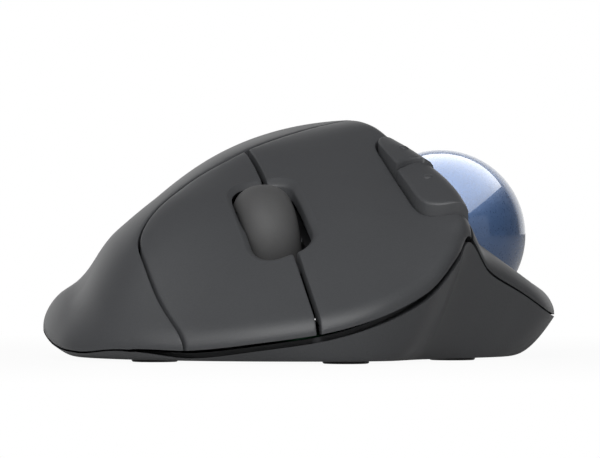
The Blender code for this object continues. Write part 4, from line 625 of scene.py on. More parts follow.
def seam_paths():
    """Edges of the panels, each moved half a gap to its own side."""
    palm = catmull(PALM_SEAM, SEAM_STEPS)
    key = catmull(KEY_SEAM, SEAM_STEPS)
    lip = shifted(THUMB_LINE, -RIDGE_LIP)
    notch = catmull(NOTCH, SEAM_STEPS)
    return {
        "palm": shifted(palm, PANEL_GAP / 2), "palm_key": shifted(palm, -PANEL_GAP / 2)[::-1],
        "right": shifted(key, KEY_GAP / 2), "left": shifted(key, -KEY_GAP / 2)[::-1],
        "lip": shifted(lip, PANEL_GAP / 2), "wing": shifted(lip, -PANEL_GAP / 2)[::-1],
        "notch": notch, "cap": shifted(notch, -CAP_GAP)[::-1],
        "forward": shifted(catmull(CAP_SEAM, SEAM_STEPS), CAP_GAP / 2),
        "back": shifted(catmull(CAP_SEAM, SEAM_STEPS), -CAP_GAP / 2)[::-1],
    }


def panel_outlines():
    """Plan outlines of the shells and of the side buttons."""
    s = seam_paths()
    lip_front, lip_rear = split_at(s["lip"], CAP_SPLIT)
    cap_front, cap_rear = (path[::-1] for path in split_at(s["cap"][::-1], CAP_SPLIT))
    right_front, right_rear = split_at(s["right"], SLOT_CENTRE[1])
    left_front, left_rear = (path[::-1] for path in split_at(s["left"][::-1], SLOT_CENTRE[1]))
    slot_left = half_loop(SLOT_LOOP, SLOT_LOOP[:, 1].argmax())
    slot_right = half_loop(SLOT_LOOP, SLOT_LOOP[:, 1].argmin())
    palm_rim = rim_run(THUMB_RIDGE[-2], PALM_SEAM[1])
    right_rim = rim_run(PALM_SEAM[1], KEY_SEAM[1])
    left_rim = rim_run(KEY_SEAM[1], THUMB_RIDGE[2])
    wing_rim = rim_run(THUMB_RIDGE[2], THUMB_RIDGE[-2])
    return {
        "palm_shell": outline(palm_rim, s["palm"], s["lip"]),
        "right_key": outline(right_rim, right_front, slot_left, right_rear, s["palm_key"]),
        "left_key": outline(left_rim, lip_front, s["notch"], lip_rear, s["palm_key"], left_rear, slot_right,
                            left_front),
        "thumb_panel": outline(wing_rim, s["wing"]),
        "forward_button": outline(lip_front, s["forward"], cap_front),
        "back_button": outline(lip_rear, cap_rear, s["back"]),
    }


def plan_mesh(loop, features, pitch):
    """Triangles that fill an outline, with points along its features and on a grid."""
    ring = np.vstack([loop, loop[:1]])
    points = [tuple(p) for p in loop]
    links = [(i, (i + 1) % len(loop)) for i in range(len(loop))]
    for path, margin in features:
        inside = nearest(ring, path[:, 0], path[:, 1])[0] > margin
        previous = None
        for place, kept in zip(path, inside):
            if kept:
                points.append(tuple(place[:2]))
                if previous is not None:
                    links.append((previous, len(points) - 1))
            previous = len(points) - 1 if kept else None
    low, high = loop.min(0), loop.max(0)
    grid = []
    for row, y in enumerate(np.arange(low[1], high[1], pitch * ROW_STEP)):
        for x in np.arange(low[0] + (row % 2) * pitch / 2, high[0], pitch):
            grid.append((x, y))
    grid = np.array(grid)
    grid = grid[nearest(ring, grid[:, 0], grid[:, 1])[0] > pitch * EDGE_ROOM]
    taken = np.array(points)
    for place in grid:
        if np.hypot(*(taken - place).T).min() > pitch * POINT_ROOM:
            points.append(tuple(place))
    flat = [Vector(p) for p in points]
    verts, _, faces, *_ = delaunay_2d_cdt(flat, links, [], 1, 1e-7)
    return np.array([tuple(v) for v in verts]), [tuple(f) for f in faces]


# Building blocks

def add_object(name, bm, frame=IDENTITY):
    """Object from a bmesh whose points are in the frame's own axes."""
    mesh = bpy.data.meshes.new(name)
    bm.to_mesh(mesh)
    bm.free()
    obj = bpy.data.objects.new(name, mesh)
    WORKSHOP.objects.link(obj)
    obj.matrix_world = frame
    return obj


def turned(name, profile, frame, sides):
    """Turned piece about its frame's Z, from a profile that runs down its outer side."""
    bm = bmesh.new()
    verts = [bm.verts.new((x, 0, z)) for x, z in profile]
    for a, b in zip(verts, verts[1:]):
        if a.co.x > 0 or b.co.x > 0:
            bm.edges.new((a, b))
    if profile[0][0] > 0 and profile[-1][0] > 0:
        bm.edges.new((verts[-1], verts[0]))
    obj = add_object(name, bm, frame)
    screw = obj.modifiers.new("turn", "SCREW")
    screw.steps = sides
    screw.use_merge_vertices = True
    screw.merge_threshold = 1e-6
    return obj


def combine(obj, operation, *tools):
    """Cut or join an object with tool pieces."""
    for piece in tools:
        change = obj.modifiers.new(operation.lower(), "BOOLEAN")
        change.operation = operation
        change.solver = "MANIFOLD"
        change.object = piece
    return obj


def tool_box(size, frame=IDENTITY):
    """Box centred on its frame, used to cut or join."""
    bm = bmesh.new()
    bmesh.ops.create_cube(bm, size=1)
    bmesh.ops.scale(bm, vec=Vector(size), verts=bm.verts)
    return add_object("tool_box", bm, frame)


def tool_rod(radius, length, frame=IDENTITY, sides=ROUND):
    """Round bar along its frame's Z, centred, used to cut or join."""
    bm = bmesh.new()
    bmesh.ops.create_cone(bm, cap_ends=True, segments=sides, radius1=radius, radius2=radius, depth=length)
    return add_object("tool_rod", bm, frame)


def at(x, y, z):
    """Upright frame at a place."""
    return Matrix.Translation((x, y, z))


def span(low, high, x, y):
    """Length and upright frame of a bar between two heights."""
    return high - low, at(x, y, (low + high) / 2)


def draped(name, loop, top, bottom, features, pitch):
    """Solid between two height fields over a plan outline: an extruded sheet draped on both."""
    places, faces = plan_mesh(loop, features, pitch)
    bm = bmesh.new()
    verts = [bm.verts.new((x, y, 0)) for x, y in places]
    for face in faces:
        bm.faces.new([verts[i] for i in face])
    lifted = bmesh.ops.extrude_face_region(bm, geom=bm.faces[:])["geom"]
    upper = [v for v in lifted if isinstance(v, bmesh.types.BMVert)]
    raised = set(upper)
    lower = [v for v in bm.verts if v not in raised]
    for group, height in ((upper, top), (lower, bottom)):
        flat = np.array([v.co[:2] for v in group])
        for vert, z in zip(group, height(flat[:, 0], flat[:, 1])):
            vert.co.z = z
    bmesh.ops.recalc_face_normals(bm, faces=bm.faces[:])
    return add_object(name, bm)


def reach(frame):
    """Distance along a frame's Z to the middle of the shell above it."""
    steps = np.arange(0, FARTHEST, REACH_STEP)
    start = frame.translation
    axis = frame.to_3x3() @ Vector((0, 0, 1))
    line = np.array(start) + steps[:, None] * np.array(axis)
    middle = (outer(line[:, 0], line[:, 1]) + inner(line[:, 0], line[:, 1])) / 2
    return steps[np.argmax(line[:, 2] > middle)]


# Fine mesh

def in_steps(height):
    """Height field worked out a few thousand points at a time."""
    def stepped(x, y):
        x, y = np.ravel(x), np.ravel(y)
        return np.concatenate([height(x[i:i + BATCH], y[i:i + BATCH]) for i in range(0, len(x), BATCH)])
    return stepped


def seam_distance(loop, x, y):
    """Distance to the stretches of an outline that aren't on the rim."""
    ends = np.roll(loop, -1, 0)
    middle = (loop + ends) / 2
    seam = np.abs(rim_at(middle[:, 0], middle[:, 1])[0]) > ON_RIM
    start, step = loop[seam], (ends - loop)[seam]
    offset = np.column_stack([x, y])[:, None] - start
    share = np.clip((offset * step).sum(2) / (step ** 2).sum(1), 0, 1)
    away = offset - share[..., None] * step
    return np.hypot(away[..., 0], away[..., 1]).min(1)


def fine_features(loop):
    """Lines that a shell's fine mesh follows."""
    radius = RIM_LOOP[:, 2]
    normal = np.vstack([loop_normals(RIM_LINE[:, :2]), loop_normals(RIM_LINE[:, :2])[:1]])
    lines = []
    for share in RIM_LINES:
        depth = radius * share
        lines.append((RIM_LOOP[:, :2] + depth[:, None] * normal, depth.min() * LINE_MARGIN))
    inward = loop_normals(loop)
    for share in SEAM_LINES:
        depth = SEAM_ROUND * share
        lines.append((loop + depth * inward, depth * SEAM_MARGIN))
    slot = evenly(SLOT_LOOP, OUTLINE_STEP)
    ring = np.vstack([slot, slot[:1]])
    away = np.vstack([loop_normals(slot), loop_normals(slot)[:1]])
    for share in SLOT_LINES:
        lines.append((ring - SLOT_BEVEL * share * away, SLOT_MARGIN))
    return lines


def moulded(name, loop):
    """Shell with a round rim and softened seams."""
    loop = evenly(loop, OUTLINE_STEP)

    def top(x, y):
        return outer(x, y) - rounding(seam_distance(loop, x, y), SEAM_ROUND)
    return draped(name, loop, in_steps(top), in_steps(inner), fine_features(loop), PITCH)


# Shells

def hinge_frame(place):
    """Frame of a key's hinge, with X along its pin."""
    return on_deck(place, HINGE_RISE)


def riser(frame, width):
    """Post that ties a hinge or a plunger's pad to the key above."""
    height = reach(frame)
    return tool_box((width, RISER * RISER_FIT, height), frame @ at(0, 0, height / 2))


def switch_frame(place):
    """Frame on the deck under a key's switch."""
    return on_deck(place, SEAT, WHEEL_YAW)


def key_post(place):
    """Post that presses a switch's plunger."""
    start = switch_frame(place) @ at(0, 0, SWITCH.z + PLUNGER_PROUD + TOUCH)
    height = reach(start)
    return tool_rod(POST_RADIUS, height, start @ at(0, 0, height / 2))


def hinge_pin(frame, barrel):
    """Barrel and pin of a key's hinge."""
    lying = frame @ Matrix.Rotation(pi / 2, 4, "Y")
    pin = tool_rod(PIN_RADIUS, barrel + 2 * (CAP_GAP + EAR), lying)
    return pin, tool_rod(BARREL_RADIUS, barrel, lying)


def tyre_profile(steps, clear=0.0):
    """Barrel section of the tyre, full in the middle and rounded off to both sides."""
    turn = np.linspace(pi / 2, -pi / 2, 2 * steps + 1)
    swell = np.clip(np.cos(turn), 0, 1) ** (2 / TYRE_CURVE)
    side = np.sign(np.sin(turn)) * np.abs(np.sin(turn)) ** (2 / TYRE_CURVE)
    radius = WHEEL_RADIUS - TYRE + (TYRE + clear) * swell
    return list(zip(radius, (WHEEL_WIDTH / 2 + clear) * side))


def wheel_room():
    """Room for the wheel under the keys, in the tyre's own shape."""
    half = WHEEL_WIDTH / 2 + WHEEL_CLEAR
    profile = [(0, half)] + tyre_profile(ROOM_STEPS, WHEEL_CLEAR) + [(0, -half)]
    return turned("tool_room", profile, AXLE_FRAME, WHEEL_SIDES)


def make_left_key(loop):
    """Left key plate with its hinge, post and side-button notch."""
    frame = hinge_frame(LEFT_HINGE)
    key = moulded("left_key", loop)
    pin, barrel = hinge_pin(frame, LEFT_BARREL)
    combine(key, "UNION", riser(frame, LEFT_BARREL * RISER_SHARE), barrel, pin, key_post(LEFT_SWITCH))
    return combine(key, "DIFFERENCE", wheel_room())


def make_right_key(loop):
    """Right key plate, whose hinge arm runs back under the palm shell."""
    frame = hinge_frame(RIGHT_HINGE)
    key = moulded("right_key", loop)
    pin, barrel = hinge_pin(frame, RIGHT_BARREL)
    width = RIGHT_BARREL * ARM_SHARE
    aside = -RIGHT_BARREL * ARM_SHIFT
    arm = tool_box((width, RIGHT_ARM + RISER, RISER), frame @ at(aside, -RIGHT_ARM / 2, 0))
    post = riser(frame @ at(aside, -RIGHT_ARM, 0), width * RISER_FIT)
    combine(key, "UNION", post, arm, barrel, pin, key_post(RIGHT_SWITCH))
    return combine(key, "DIFFERENCE", wheel_room())


def boss_tools(place):
    """Screw boss under a shell and its pilot hole."""
    low = FOOT_PROUD + SCREW_CUP + SEAT
    turn = np.linspace(0, 2 * pi, 13)
    around = place[0] + BOSS_RADIUS * np.cos(turn), place[1] + BOSS_RADIUS * np.sin(turn)
    top = outer(*around).min() - WALL / 4
    boss = tool_rod(BOSS_RADIUS, *span(low, top, *place))
    depth = SCREW_LENGTH - (SCREW_CUP - SCREW_HEAD_HEIGHT - SEAT) + SEAT
    pilot = tool_rod(SCREW_RADIUS + RUN, *span(low - SEAT, low + depth, *place))
    return boss, pilot


def make_palm(loop):
    """Palm shell with its screw bosses."""
    shell = moulded("palm_shell", loop)
    tools = [boss_tools(place) for place in SCREWS[:3]]
    combine(shell, "UNION", *(boss for boss, _ in tools))
    return combine(shell, "DIFFERENCE", *(pilot for _, pilot in tools))


def make_thumb_panel(loop):
    """Thumb panel with the ball's round opening and its screw bosses."""
    shell = moulded("thumb_panel", loop)
    tools = [boss_tools(place) for place in SCREWS[3:]]
    combine(shell, "UNION", *(boss for boss, _ in tools))
    opening = (BALL_RADIUS ** 2 - RING_LIFT ** 2) ** 0.5 + RING_GAP
    height = 2 * BALL_RADIUS
    hole = tool_rod(opening, height, CUP_FRAME @ at(0, 0, CUP_TOP + height / 2 - SEAT), OPENING_SIDES)
    room = CUP_TOP + SEAT
    clear = tool_rod(CUP_OUTER + SEAT, height, CUP_FRAME @ at(0, 0, room - height / 2), OPENING_SIDES)
    return combine(shell, "DIFFERENCE", hole, clear, *(pilot for _, pilot in tools))


def side_frame(place):
    """Upright frame on the level pad under a side button's switch."""
    return at(*place, on_deck(place).translation.z + PAD_RISE + SEAT)


def oval(middle, size, share, count=32):
    """Closed oval around a place."""
    turn = np.linspace(0, 2 * pi, count + 1)
    reach_x, reach_y = size[0] * share, size[1] * share
    return np.column_stack([middle[0] + reach_x * np.cos(turn), middle[1] + reach_y * np.sin(turn)])


def make_cap(name, loop, raise_by, place, mark):
    """Side button cap with its rounded outer edge, a small raised mark and its stem."""
    ring = np.vstack([loop, loop[:1]])
    ridge = shifted(THUMB_LINE, PANEL_GAP / 2 - RIDGE_LIP)
    rear, front = loop[:, 1].max(), loop[:, 1].min()

    def top(x, y):
        share = (y - front) / (rear - front)
        lift = raise_by[0] + (raise_by[1] - raise_by[0]) * share
        edge = rounding(np.abs(nearest(ring, x, y)[0]), CAP_ROUND)
        fall = rounding(np.abs(nearest(ridge, x, y)[0]), CAP_EDGE) * CAP_FALL / CAP_EDGE
        away = ((x - mark[0]) / MARK_SIZE[0]) ** 2 + ((y - mark[1]) / MARK_SIZE[1]) ** 2
        return crown(x, y) + lift - np.maximum(edge, fall) + MARK_SIZE[2] * np.sqrt(np.clip(1 - away, 0, 1))

    normal = loop_normals(loop)
    lines = [(oval(mark, MARK_SIZE, share), MARK_MARGIN) for share in MARK_LINES]
    lines += [(loop + depth * normal, depth * LINE_MARGIN) for depth in CAP_ROUND * CAP_LINES]
    lines += [(shifted(ridge, CAP_EDGE * part), CAP_ROUND) for part in FALL_LINES]
    cap = draped(name, loop, in_steps(top), in_steps(lambda x, y: crown(x, y) - CAP_DEPTH), lines, CAP_PITCH)
    low = side_frame(place).translation.z + TACT.z + TACT_PROUD + TOUCH
    high = crown(place[0], place[1])[0] - CAP_DEPTH / 2
    return combine(cap, "UNION", tool_rod(STEM_RADIUS, *span(low, high, *place)))


def tower_top(place):
    """Height of a tower's top, just under its boss on the key frame."""
    return on_deck(place, -DECK / 2).translation.z - FRAME_BOSS / 2 - SEAT


# Base and its bottom

def base_sections():
    """Outer and inner sections of the base at each rim station, from the seam to the foot."""
    rim, foot = RIM_LINE[:, :2], RIM_LINE[:, 3:5]
    top = RIM_SEAM[:-1] - RIM_LINE[:, 5]
    bend = foot + BASE_BEND * (rim - foot)
    behind = np.interp(RIM_LINE[:, 5], LIP_GAPS, (0, 1))
    lip = top + LIP_LOW + (RIM_LINE[:, 5] - LIP_DROP - LIP_LOW) * behind
    within = [rim + (WALL + LIP_ROOM + share * BASE_WALL / 2) * loop_normals(rim) for share in (0, 1)]
    rings = {"outer": [], "inner": [], "lip": [np.column_stack([within[0], top])]}
    rings["lip"] += [np.column_stack([place, lip]) for place in within]
    for share in np.linspace(0, 1, BASE_STEPS):
        a, b, c = (1 - share) ** 2, 2 * share * (1 - share), share ** 2
        place = a * rim + b * bend + c * foot
        low = FOOT_PROUD
        rise = b * (low + BASE_RISE * (top - low)) + c * low
        rings["outer"].append(np.column_stack([place, a * top + rise]))
        within = place + BASE_WALL * loop_normals(place)
        rise = b * (FLOOR_TOP + BASE_RISE * (top - FLOOR_TOP)) + c * FLOOR_TOP
        rings["inner"].append(np.column_stack([within, a * top + rise]))
    return rings


def make_tub():
    """Base tub lofted from the seam to the foot, with a flat floor."""
    rings = base_sections()
    bm = bmesh.new()
    loops = []
    for ring in rings["outer"][::-1] + rings["lip"] + rings["inner"][::INNER_SKIP][1:]:
        loops.append([bm.verts.new(p) for p in ring])
    count = len(loops[0])
    for lower, upper in zip(loops, loops[1:]):
        for i in range(count):
            k = (i + 1) % count
            bm.faces.new((lower[i], lower[k], upper[k], upper[i]))
    bm.faces.new(loops[0][::-1])
    bm.faces.new(loops[-1])
    bmesh.ops.recalc_face_normals(bm, faces=bm.faces[:])
    return add_object("base", bm)


def bay_box():
    """Inner half width, front end and rear end of the battery bay."""
    half = CELL_RADIUS + BAY_GAP
    front = CELL_MIDDLE[1] - CELL_LENGTH / 2 - SPRING_ROOM
    rear = CELL_MIDDLE[1] + CELL_LENGTH / 2 + CELL_NUB + BAY_GAP + CONTACT.y
    return half, front, rear


def bay_walls():
    """Four walls around the battery."""
    half, front, rear = bay_box()
    low = FLOOR_TOP - FLOOR / 2
    height = BAY_HEIGHT + FLOOR / 2
    middle = (front + rear) / 2
    length = rear - front + 2 * BAY_WALL
    z = low + height / 2
    x = CELL_MIDDLE[0]
    outside = tool_box((2 * (half + BAY_WALL), length, height), at(x, middle, z))
    inside = tool_box((2 * half, rear - front, height * 2), at(x, middle, z + FLOOR))
    return outside, inside


def door_opening():
    """Middle, width and length of the battery door's opening."""
    half, front, rear = bay_box()
    return (CELL_MIDDLE[0], (front + rear) / 2), 2 * half - 2 * DOOR_GAP, rear - front - 2 * DOOR_GAP


def tab_places():
    """Places on the floor where the battery door's tabs hook in."""
    middle, width, length = door_opening()
    y = middle[1] - length / 2 + DOOR_GAP
    return [Vector((middle[0] + side * width / 4, y, 0)) for side in (-1, 1)]


def make_base():
    """Base with towers, ball seat, screw cups, battery bay and cut-outs."""
    base = make_tub()
    outside, inside = bay_walls()
    joins = [outside]
    cuts = [inside]
    sunk = FLOOR_TOP - FLOOR / 2
    for place in TOWERS:
        top = tower_top(place)
        joins.append(tool_rod(TOWER_RADIUS, *span(sunk, top, *place)))
        bottom = top - FRAME_SCREW + FRAME_BOSS - SEAT
        cuts.append(tool_rod(SCREW_RADIUS + RUN, *span(bottom, top + SEAT, *place)))
    seat = BALL_CENTRE.z - CUP_OUTER - SEAT
    joins.append(tool_rod(EJECT_RADIUS + EJECT_WALL, *span(sunk, seat, *BALL_CENTRE[:2])))
    cuts.append(tool_rod(EJECT_RADIUS, *span(-FLOOR, seat + FLOOR, *BALL_CENTRE[:2])))
    for place in SCREWS:
        rise = span(FOOT_PROUD + FLOOR / 2, FOOT_PROUD + SCREW_CUP, *place)
        joins.append(tool_rod(SCREW_HEAD + SCREW_CUP_WALL, *rise, CUP_SIDES))
        depth = FOOT_PROUD + SCREW_HEAD_HEIGHT + 2 * SEAT
        cuts.append(tool_rod(SCREW_HEAD + SEAT, *span(-FLOOR, depth, *place)))
        cuts.append(tool_rod(SCREW_RADIUS + SEAT, *span(-FLOOR, depth + SCREW_CUP, *place)))
    for dx in (-1, 1):
        for dy in (-1, 1):
            x, y = board_post(dx, dy)
            joins.append(tool_rod(BOARD_POST, *span(sunk, FLOOR_TOP + BOARD_RISE - SEAT, x, y)))
    for place in FEET:
        cuts.append(tool_rod(FOOT_RADIUS + SEAT, *span(-FLOOR, FOOT_PROUD + FOOT_SUNK, *place)))
    middle, width, length = door_opening()
    cuts.append(tool_box((width, length, FLOOR * 4), at(*middle, FLOOR_TOP)))
    for place in tab_places():
        room = Vector((TAB.x + 2 * DOOR_GAP, TAB.y + 2 * DOOR_GAP, 2 * TAB.z + 4 * SEAT))
        cuts.append(tool_box(room, Matrix.Translation(place + Vector((0, 0, FLOOR_TOP + room.z / 2)))))
    slot = (POWER_KNOB.x + POWER_TRAVEL + 2 * SEAT, POWER_KNOB.y + 2 * SEAT, FLOOR * 4)
    cuts.append(tool_box(slot, at(POWER_PLACE[0] + POWER_TRAVEL / 2, POWER_PLACE[1], FLOOR_TOP)))
    combine(base, "UNION", *joins)
    return combine(base, "DIFFERENCE", *cuts)


def board_post(dx, dy):
    """Place of a post under a corner of the main board."""
    x = BOARD_PLACE[0] + dx * (BOARD.x / 2 - BOARD_POST)
    return x, BOARD_PLACE[1] + dy * (BOARD.y / 2 - BOARD_POST)


# Finished pieces

def plain_mesh(obj, name):
    """Plain mesh of a built object with its modifiers and place applied."""
    bpy.context.view_layer.update()
    mesh = bpy.data.meshes.new_from_object(obj.evaluated_get(bpy.context.evaluated_depsgraph_get()))
    mesh.transform(obj.matrix_world)
    mesh.name = name
    return mesh


def finished(obj, name, body, nodes, material):
    """Piece that stands for CAD nodes and moves with their body."""
    mesh = plain_mesh(obj, name)
    for old in list(WORKSHOP.objects):
        bpy.data.objects.remove(old, do_unlink=True)
    mesh.materials.clear()
    mesh.materials.append(material)
    mesh.shade_smooth()
    mesh.set_sharp_from_angle(angle=PIECE_SHARP)
    piece = bpy.data.objects.new(name, mesh)
    bpy.context.scene.collection.objects.link(piece)
    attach(piece, body)
    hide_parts(*nodes)
    return piece


# Geometry Nodes

def new_tree(name, kind, inputs, outputs):
    """Node tree with named inputs and outputs."""
    tree = bpy.data.node_groups.new(name, kind)
    for side, sockets in (("INPUT", inputs), ("OUTPUT", outputs)):
        for label, socket in sockets.items():
            tree.interface.new_socket(label, in_out=side, socket_type=f"NodeSocket{socket}")
    return tree, tree.nodes.new("NodeGroupInput"), tree.nodes.new("NodeGroupOutput")


def node_tree(name, **sizes):
    """Geometry tree with named inputs for its sizes and material."""
    return new_tree(name, "GeometryNodeTree", {"Geometry": "Geometry", **sizes}, {"Geometry": "Geometry"})


def grown(name, tree, points, values):
    """Workshop object with a geometry tree on it, its inputs set by identifier."""
    mesh = bpy.data.meshes.new(name)
    mesh.from_pydata([tuple(p) for p in points], [], [])
    obj = bpy.data.objects.new(name, mesh)
    WORKSHOP.objects.link(obj)
    modifier = obj.modifiers.new(name, "NODES")
    modifier.node_group = tree
    for item in tree.interface.items_tree:
        if item.in_out == "INPUT" and item.name in values:
            modifier[item.identifier] = values[item.name]
    return obj


def linked(tree, node_type, label="", inputs=None, **settings):
    """Node with its settings, its input values and its input links."""
    node = tree.nodes.new(node_type)
    node.label = label
    for key, value in settings.items():
        setattr(node, key, value)
    for key, value in (inputs or {}).items():
        socket = node.inputs[key]
        if isinstance(value, bpy.types.NodeSocket):
            tree.links.new(value, socket)
        else:
            socket.default_value = value
    return node


def maths(tree, operation, *values):
    """Outcome of a sum on two or three values."""
    return linked(tree, "ShaderNodeMath", "", dict(enumerate(values)), operation=operation).outputs[0]


def blended(tree, share, a, b, label=""):
    """Number between two others."""
    return linked(tree, "ShaderNodeMix", label, {0: share, 2: a, 3: b}, data_type="FLOAT").outputs[0]


def on_points(tree, given, made, mesh, label):
    """Copies of a mesh on the given points, made real and finished."""
    placed = linked(tree, "GeometryNodeInstanceOnPoints", label, {
        "Points": given.outputs["Geometry"], "Instance": mesh})
    real = linked(tree, "GeometryNodeRealizeInstances", "", {"Geometry": placed.outputs["Instances"]})
    coloured = linked(tree, "GeometryNodeSetMaterial", "", {
        "Geometry": real.outputs[0], "Material": given.outputs["Finish"]})
    tree.links.new(coloured.outputs[0], made.inputs[0])
    return tree


def ball_tree():
    """Sphere on each point."""
    tree, given, made = node_tree("trackball_sphere", Radius="Float", Segments="Int", Finish="Material")
    segments = given.outputs["Segments"]
    sphere = linked(tree, "GeometryNodeMeshUVSphere", "ball", {
        "Segments": segments, "Rings": maths(tree, "DIVIDE", segments, 2.0),
        "Radius": given.outputs["Radius"]})
    return on_points(tree, given, made, sphere.outputs["Mesh"], "on its centre")


def screw_tree():
    """Pan-head screw with a cross recess, head down, on each point."""
    tree, given, made = node_tree(
        "base_screws", Head_Radius="Float", Head_Height="Float", Recess_Width="Float",
        Shank_Radius="Float", Shank_Length="Float", Finish="Material")

    def times(value, factor):
        return maths(tree, "MULTIPLY", value, factor)

    def moved(mesh, z):
        shift = linked(tree, "ShaderNodeCombineXYZ", "", {"Z": z})
        return linked(tree, "GeometryNodeTransform", "", {
            "Geometry": mesh.outputs["Mesh"], "Translation": shift.outputs[0]}).outputs[0]

    radius, height = given.outputs["Head_Radius"], given.outputs["Head_Height"]
    width, length = given.outputs["Recess_Width"], given.outputs["Shank_Length"]
    half = times(height, 0.5)
    lower = linked(tree, "GeometryNodeMeshCone", "domed end", {
        "Vertices": HEAD_SIDES, "Radius Top": radius, "Radius Bottom": times(radius, HEAD_END),
        "Depth": half})
    upper = linked(tree, "GeometryNodeMeshCylinder", "head", {
        "Vertices": HEAD_SIDES, "Radius": radius, "Depth": half})
    shank = linked(tree, "GeometryNodeMeshCylinder", "shank", {
        "Vertices": SHANK_SIDES, "Radius": given.outputs["Shank_Radius"], "Depth": length})
    union = linked(tree, "GeometryNodeMeshBoolean", "joined", operation="UNION")
    for mesh, z in ((lower, times(height, -1.0)), (upper, times(height, -0.25)), (shank, times(length, 0.5))):
        tree.links.new(moved(mesh, z), union.inputs["Mesh 2"])
    recess = linked(tree, "GeometryNodeMeshBoolean", "cut", {"Mesh 1": union.outputs["Mesh"]},
                    operation="DIFFERENCE")
    for wide, deep in ((RECESS_REACH, 1.0), (1.0, RECESS_REACH)):
        size = linked(tree, "ShaderNodeCombineXYZ", "", {
            "X": times(width, wide), "Y": times(width, deep), "Z": height})
        bar = linked(tree, "GeometryNodeMeshCube", "recess", {"Size": size.outputs[0]})
        tree.links.new(moved(bar, times(height, -1.0)), recess.inputs["Mesh 2"])
    return on_points(tree, given, made, recess.outputs["Mesh"], "on the screw places")


# Shader groups

def moulded_grain():
    """Fine moulded texture: its tint, roughness and height over the surface."""
    tree, given, made = new_tree("moulded_grain", "ShaderNodeTree", {
        "Vector": "Vector", "Colour": "Color", "Grain Scale": "Float", "Tint Range": "Float",
        "Roughness": "Float", "Roughness Range": "Float"},
        {"Colour": "Color", "Roughness": "Float", "Height": "Float"})
    place, scale = given.outputs["Vector"], given.outputs["Grain Scale"]
    grain = linked(tree, "ShaderNodeTexNoise", "grain", {
        "Vector": place, "Scale": scale, "Detail": 3.0, "Roughness": 0.6}).outputs["Fac"]
    clouds = linked(tree, "ShaderNodeTexNoise", "flow marks", {"Vector": place, "Scale": 34.0, "Detail": 2.0})
    cells = linked(tree, "ShaderNodeTexVoronoi", "pits", {"Vector": place, "Scale": scale}, feature="F1")
    both = blended(tree, 0.35, grain, clouds.outputs["Fac"], "grain and flow")
    around = maths(tree, "SUBTRACT", both, 0.5)
    value = linked(tree, "ShaderNodeHueSaturation", "tinted", {
        "Value": maths(tree, "MULTIPLY_ADD", around, given.outputs["Tint Range"], 1.0),
        "Color": given.outputs["Colour"]})
    rough = maths(tree, "MULTIPLY_ADD", around, given.outputs["Roughness Range"], given.outputs["Roughness"])
    height = blended(tree, 0.5, grain, cells.outputs["Distance"], "height")
    for label, result in (("Colour", value.outputs[0]), ("Roughness", rough), ("Height", height)):
        tree.links.new(result, made.inputs[label])
    return tree


def pearl_flakes():
    """Small bright flakes and soft swirls under a clear coat."""
    tree, given, made = new_tree("pearl_flakes", "ShaderNodeTree", {
        "Vector": "Vector", "Deep": "Color", "Bright": "Color", "Flake Scale": "Float"}, {
        "Colour": "Color", "Metallic": "Float", "Roughness": "Float"})
    place = given.outputs["Vector"]
    flake = linked(tree, "ShaderNodeTexVoronoi", "flakes", {
        "Vector": place, "Scale": given.outputs["Flake Scale"]}, feature="F1")
    swirl = linked(tree, "ShaderNodeTexNoise", "swirls", {
        "Vector": place, "Scale": 90.0, "Detail": 3.0, "Distortion": 0.6})
    lightness = linked(tree, "ShaderNodeSeparateColor", "", {0: flake.outputs["Color"]}).outputs
    colour = linked(tree, "ShaderNodeMix", "", {
        0: blended(tree, 0.30, swirl.outputs["Fac"], lightness[0]),
        6: given.outputs["Deep"], 7: given.outputs["Bright"]}, data_type="RGBA")
    metal = maths(tree, "MULTIPLY_ADD", lightness[1], 0.25, 0.12)
    rough = maths(tree, "MULTIPLY_ADD", lightness[2], 0.16, 0.26)
    for label, result in (("Colour", colour.outputs[2]), ("Metallic", metal), ("Roughness", rough)):
        tree.links.new(result, made.inputs[label])
    return tree


def new_material(name):
    """Material with its tree, its shader and Object coordinates."""
    material = bpy.data.materials.new(name)
    material.use_nodes = True
    tree = material.node_tree
    place = tree.nodes.new("ShaderNodeTexCoord").outputs["Object"]
    return material, tree, tree.nodes["Principled BSDF"], place


def grouped(tree, shader, group, values, **targets):
    """Shader group with its values set and its outputs led to the shader."""
    node = linked(tree, "ShaderNodeGroup", "", values, node_tree=group)
    for source, target in targets.items():
        tree.links.new(node.outputs[source], shader.inputs[target])
    return node


def grained(name, colour, roughness, grain=2600.0, tint=0.45, spread=0.12, bump=0.30, height=0.00005,
            metallic=0.0, **settings):
    """Moulded, rolled or sheathed finish on the shared grain."""
    material, tree, shader, place = new_material(name)
    group = grouped(tree, shader, GRAIN, {
        "Vector": place, "Colour": (*colour, 1), "Grain Scale": grain, "Tint Range": tint,
        "Roughness": roughness, "Roughness Range": spread}, Colour="Base Color", Roughness="Roughness")
    relief = linked(tree, "ShaderNodeBump", "", {
        "Height": group.outputs["Height"], "Strength": bump, "Distance": height})
    tree.links.new(relief.outputs[0], shader.inputs["Normal"])
    shader.inputs["Metallic"].default_value = metallic
    for label, value in settings.items():
        shader.inputs[label.replace("_", " ")].default_value = value
    return material


def pearl():
    """Deep blue pearl under a clear coat."""
    material, tree, shader, place = new_material("pearl_blue")
    grouped(tree, shader, pearl_flakes(), {
        "Vector": place, "Deep": PEARL_DEEP, "Bright": PEARL_BRIGHT, "Flake Scale": FLAKE_SCALE},
        Colour="Base Color", Metallic="Metallic", Roughness="Roughness")
    for label, value in (("Coat Weight", 1.0), ("Coat Roughness", 0.02), ("Coat IOR", 1.5)):
        shader.inputs[label].default_value = value
    return material


# Studio

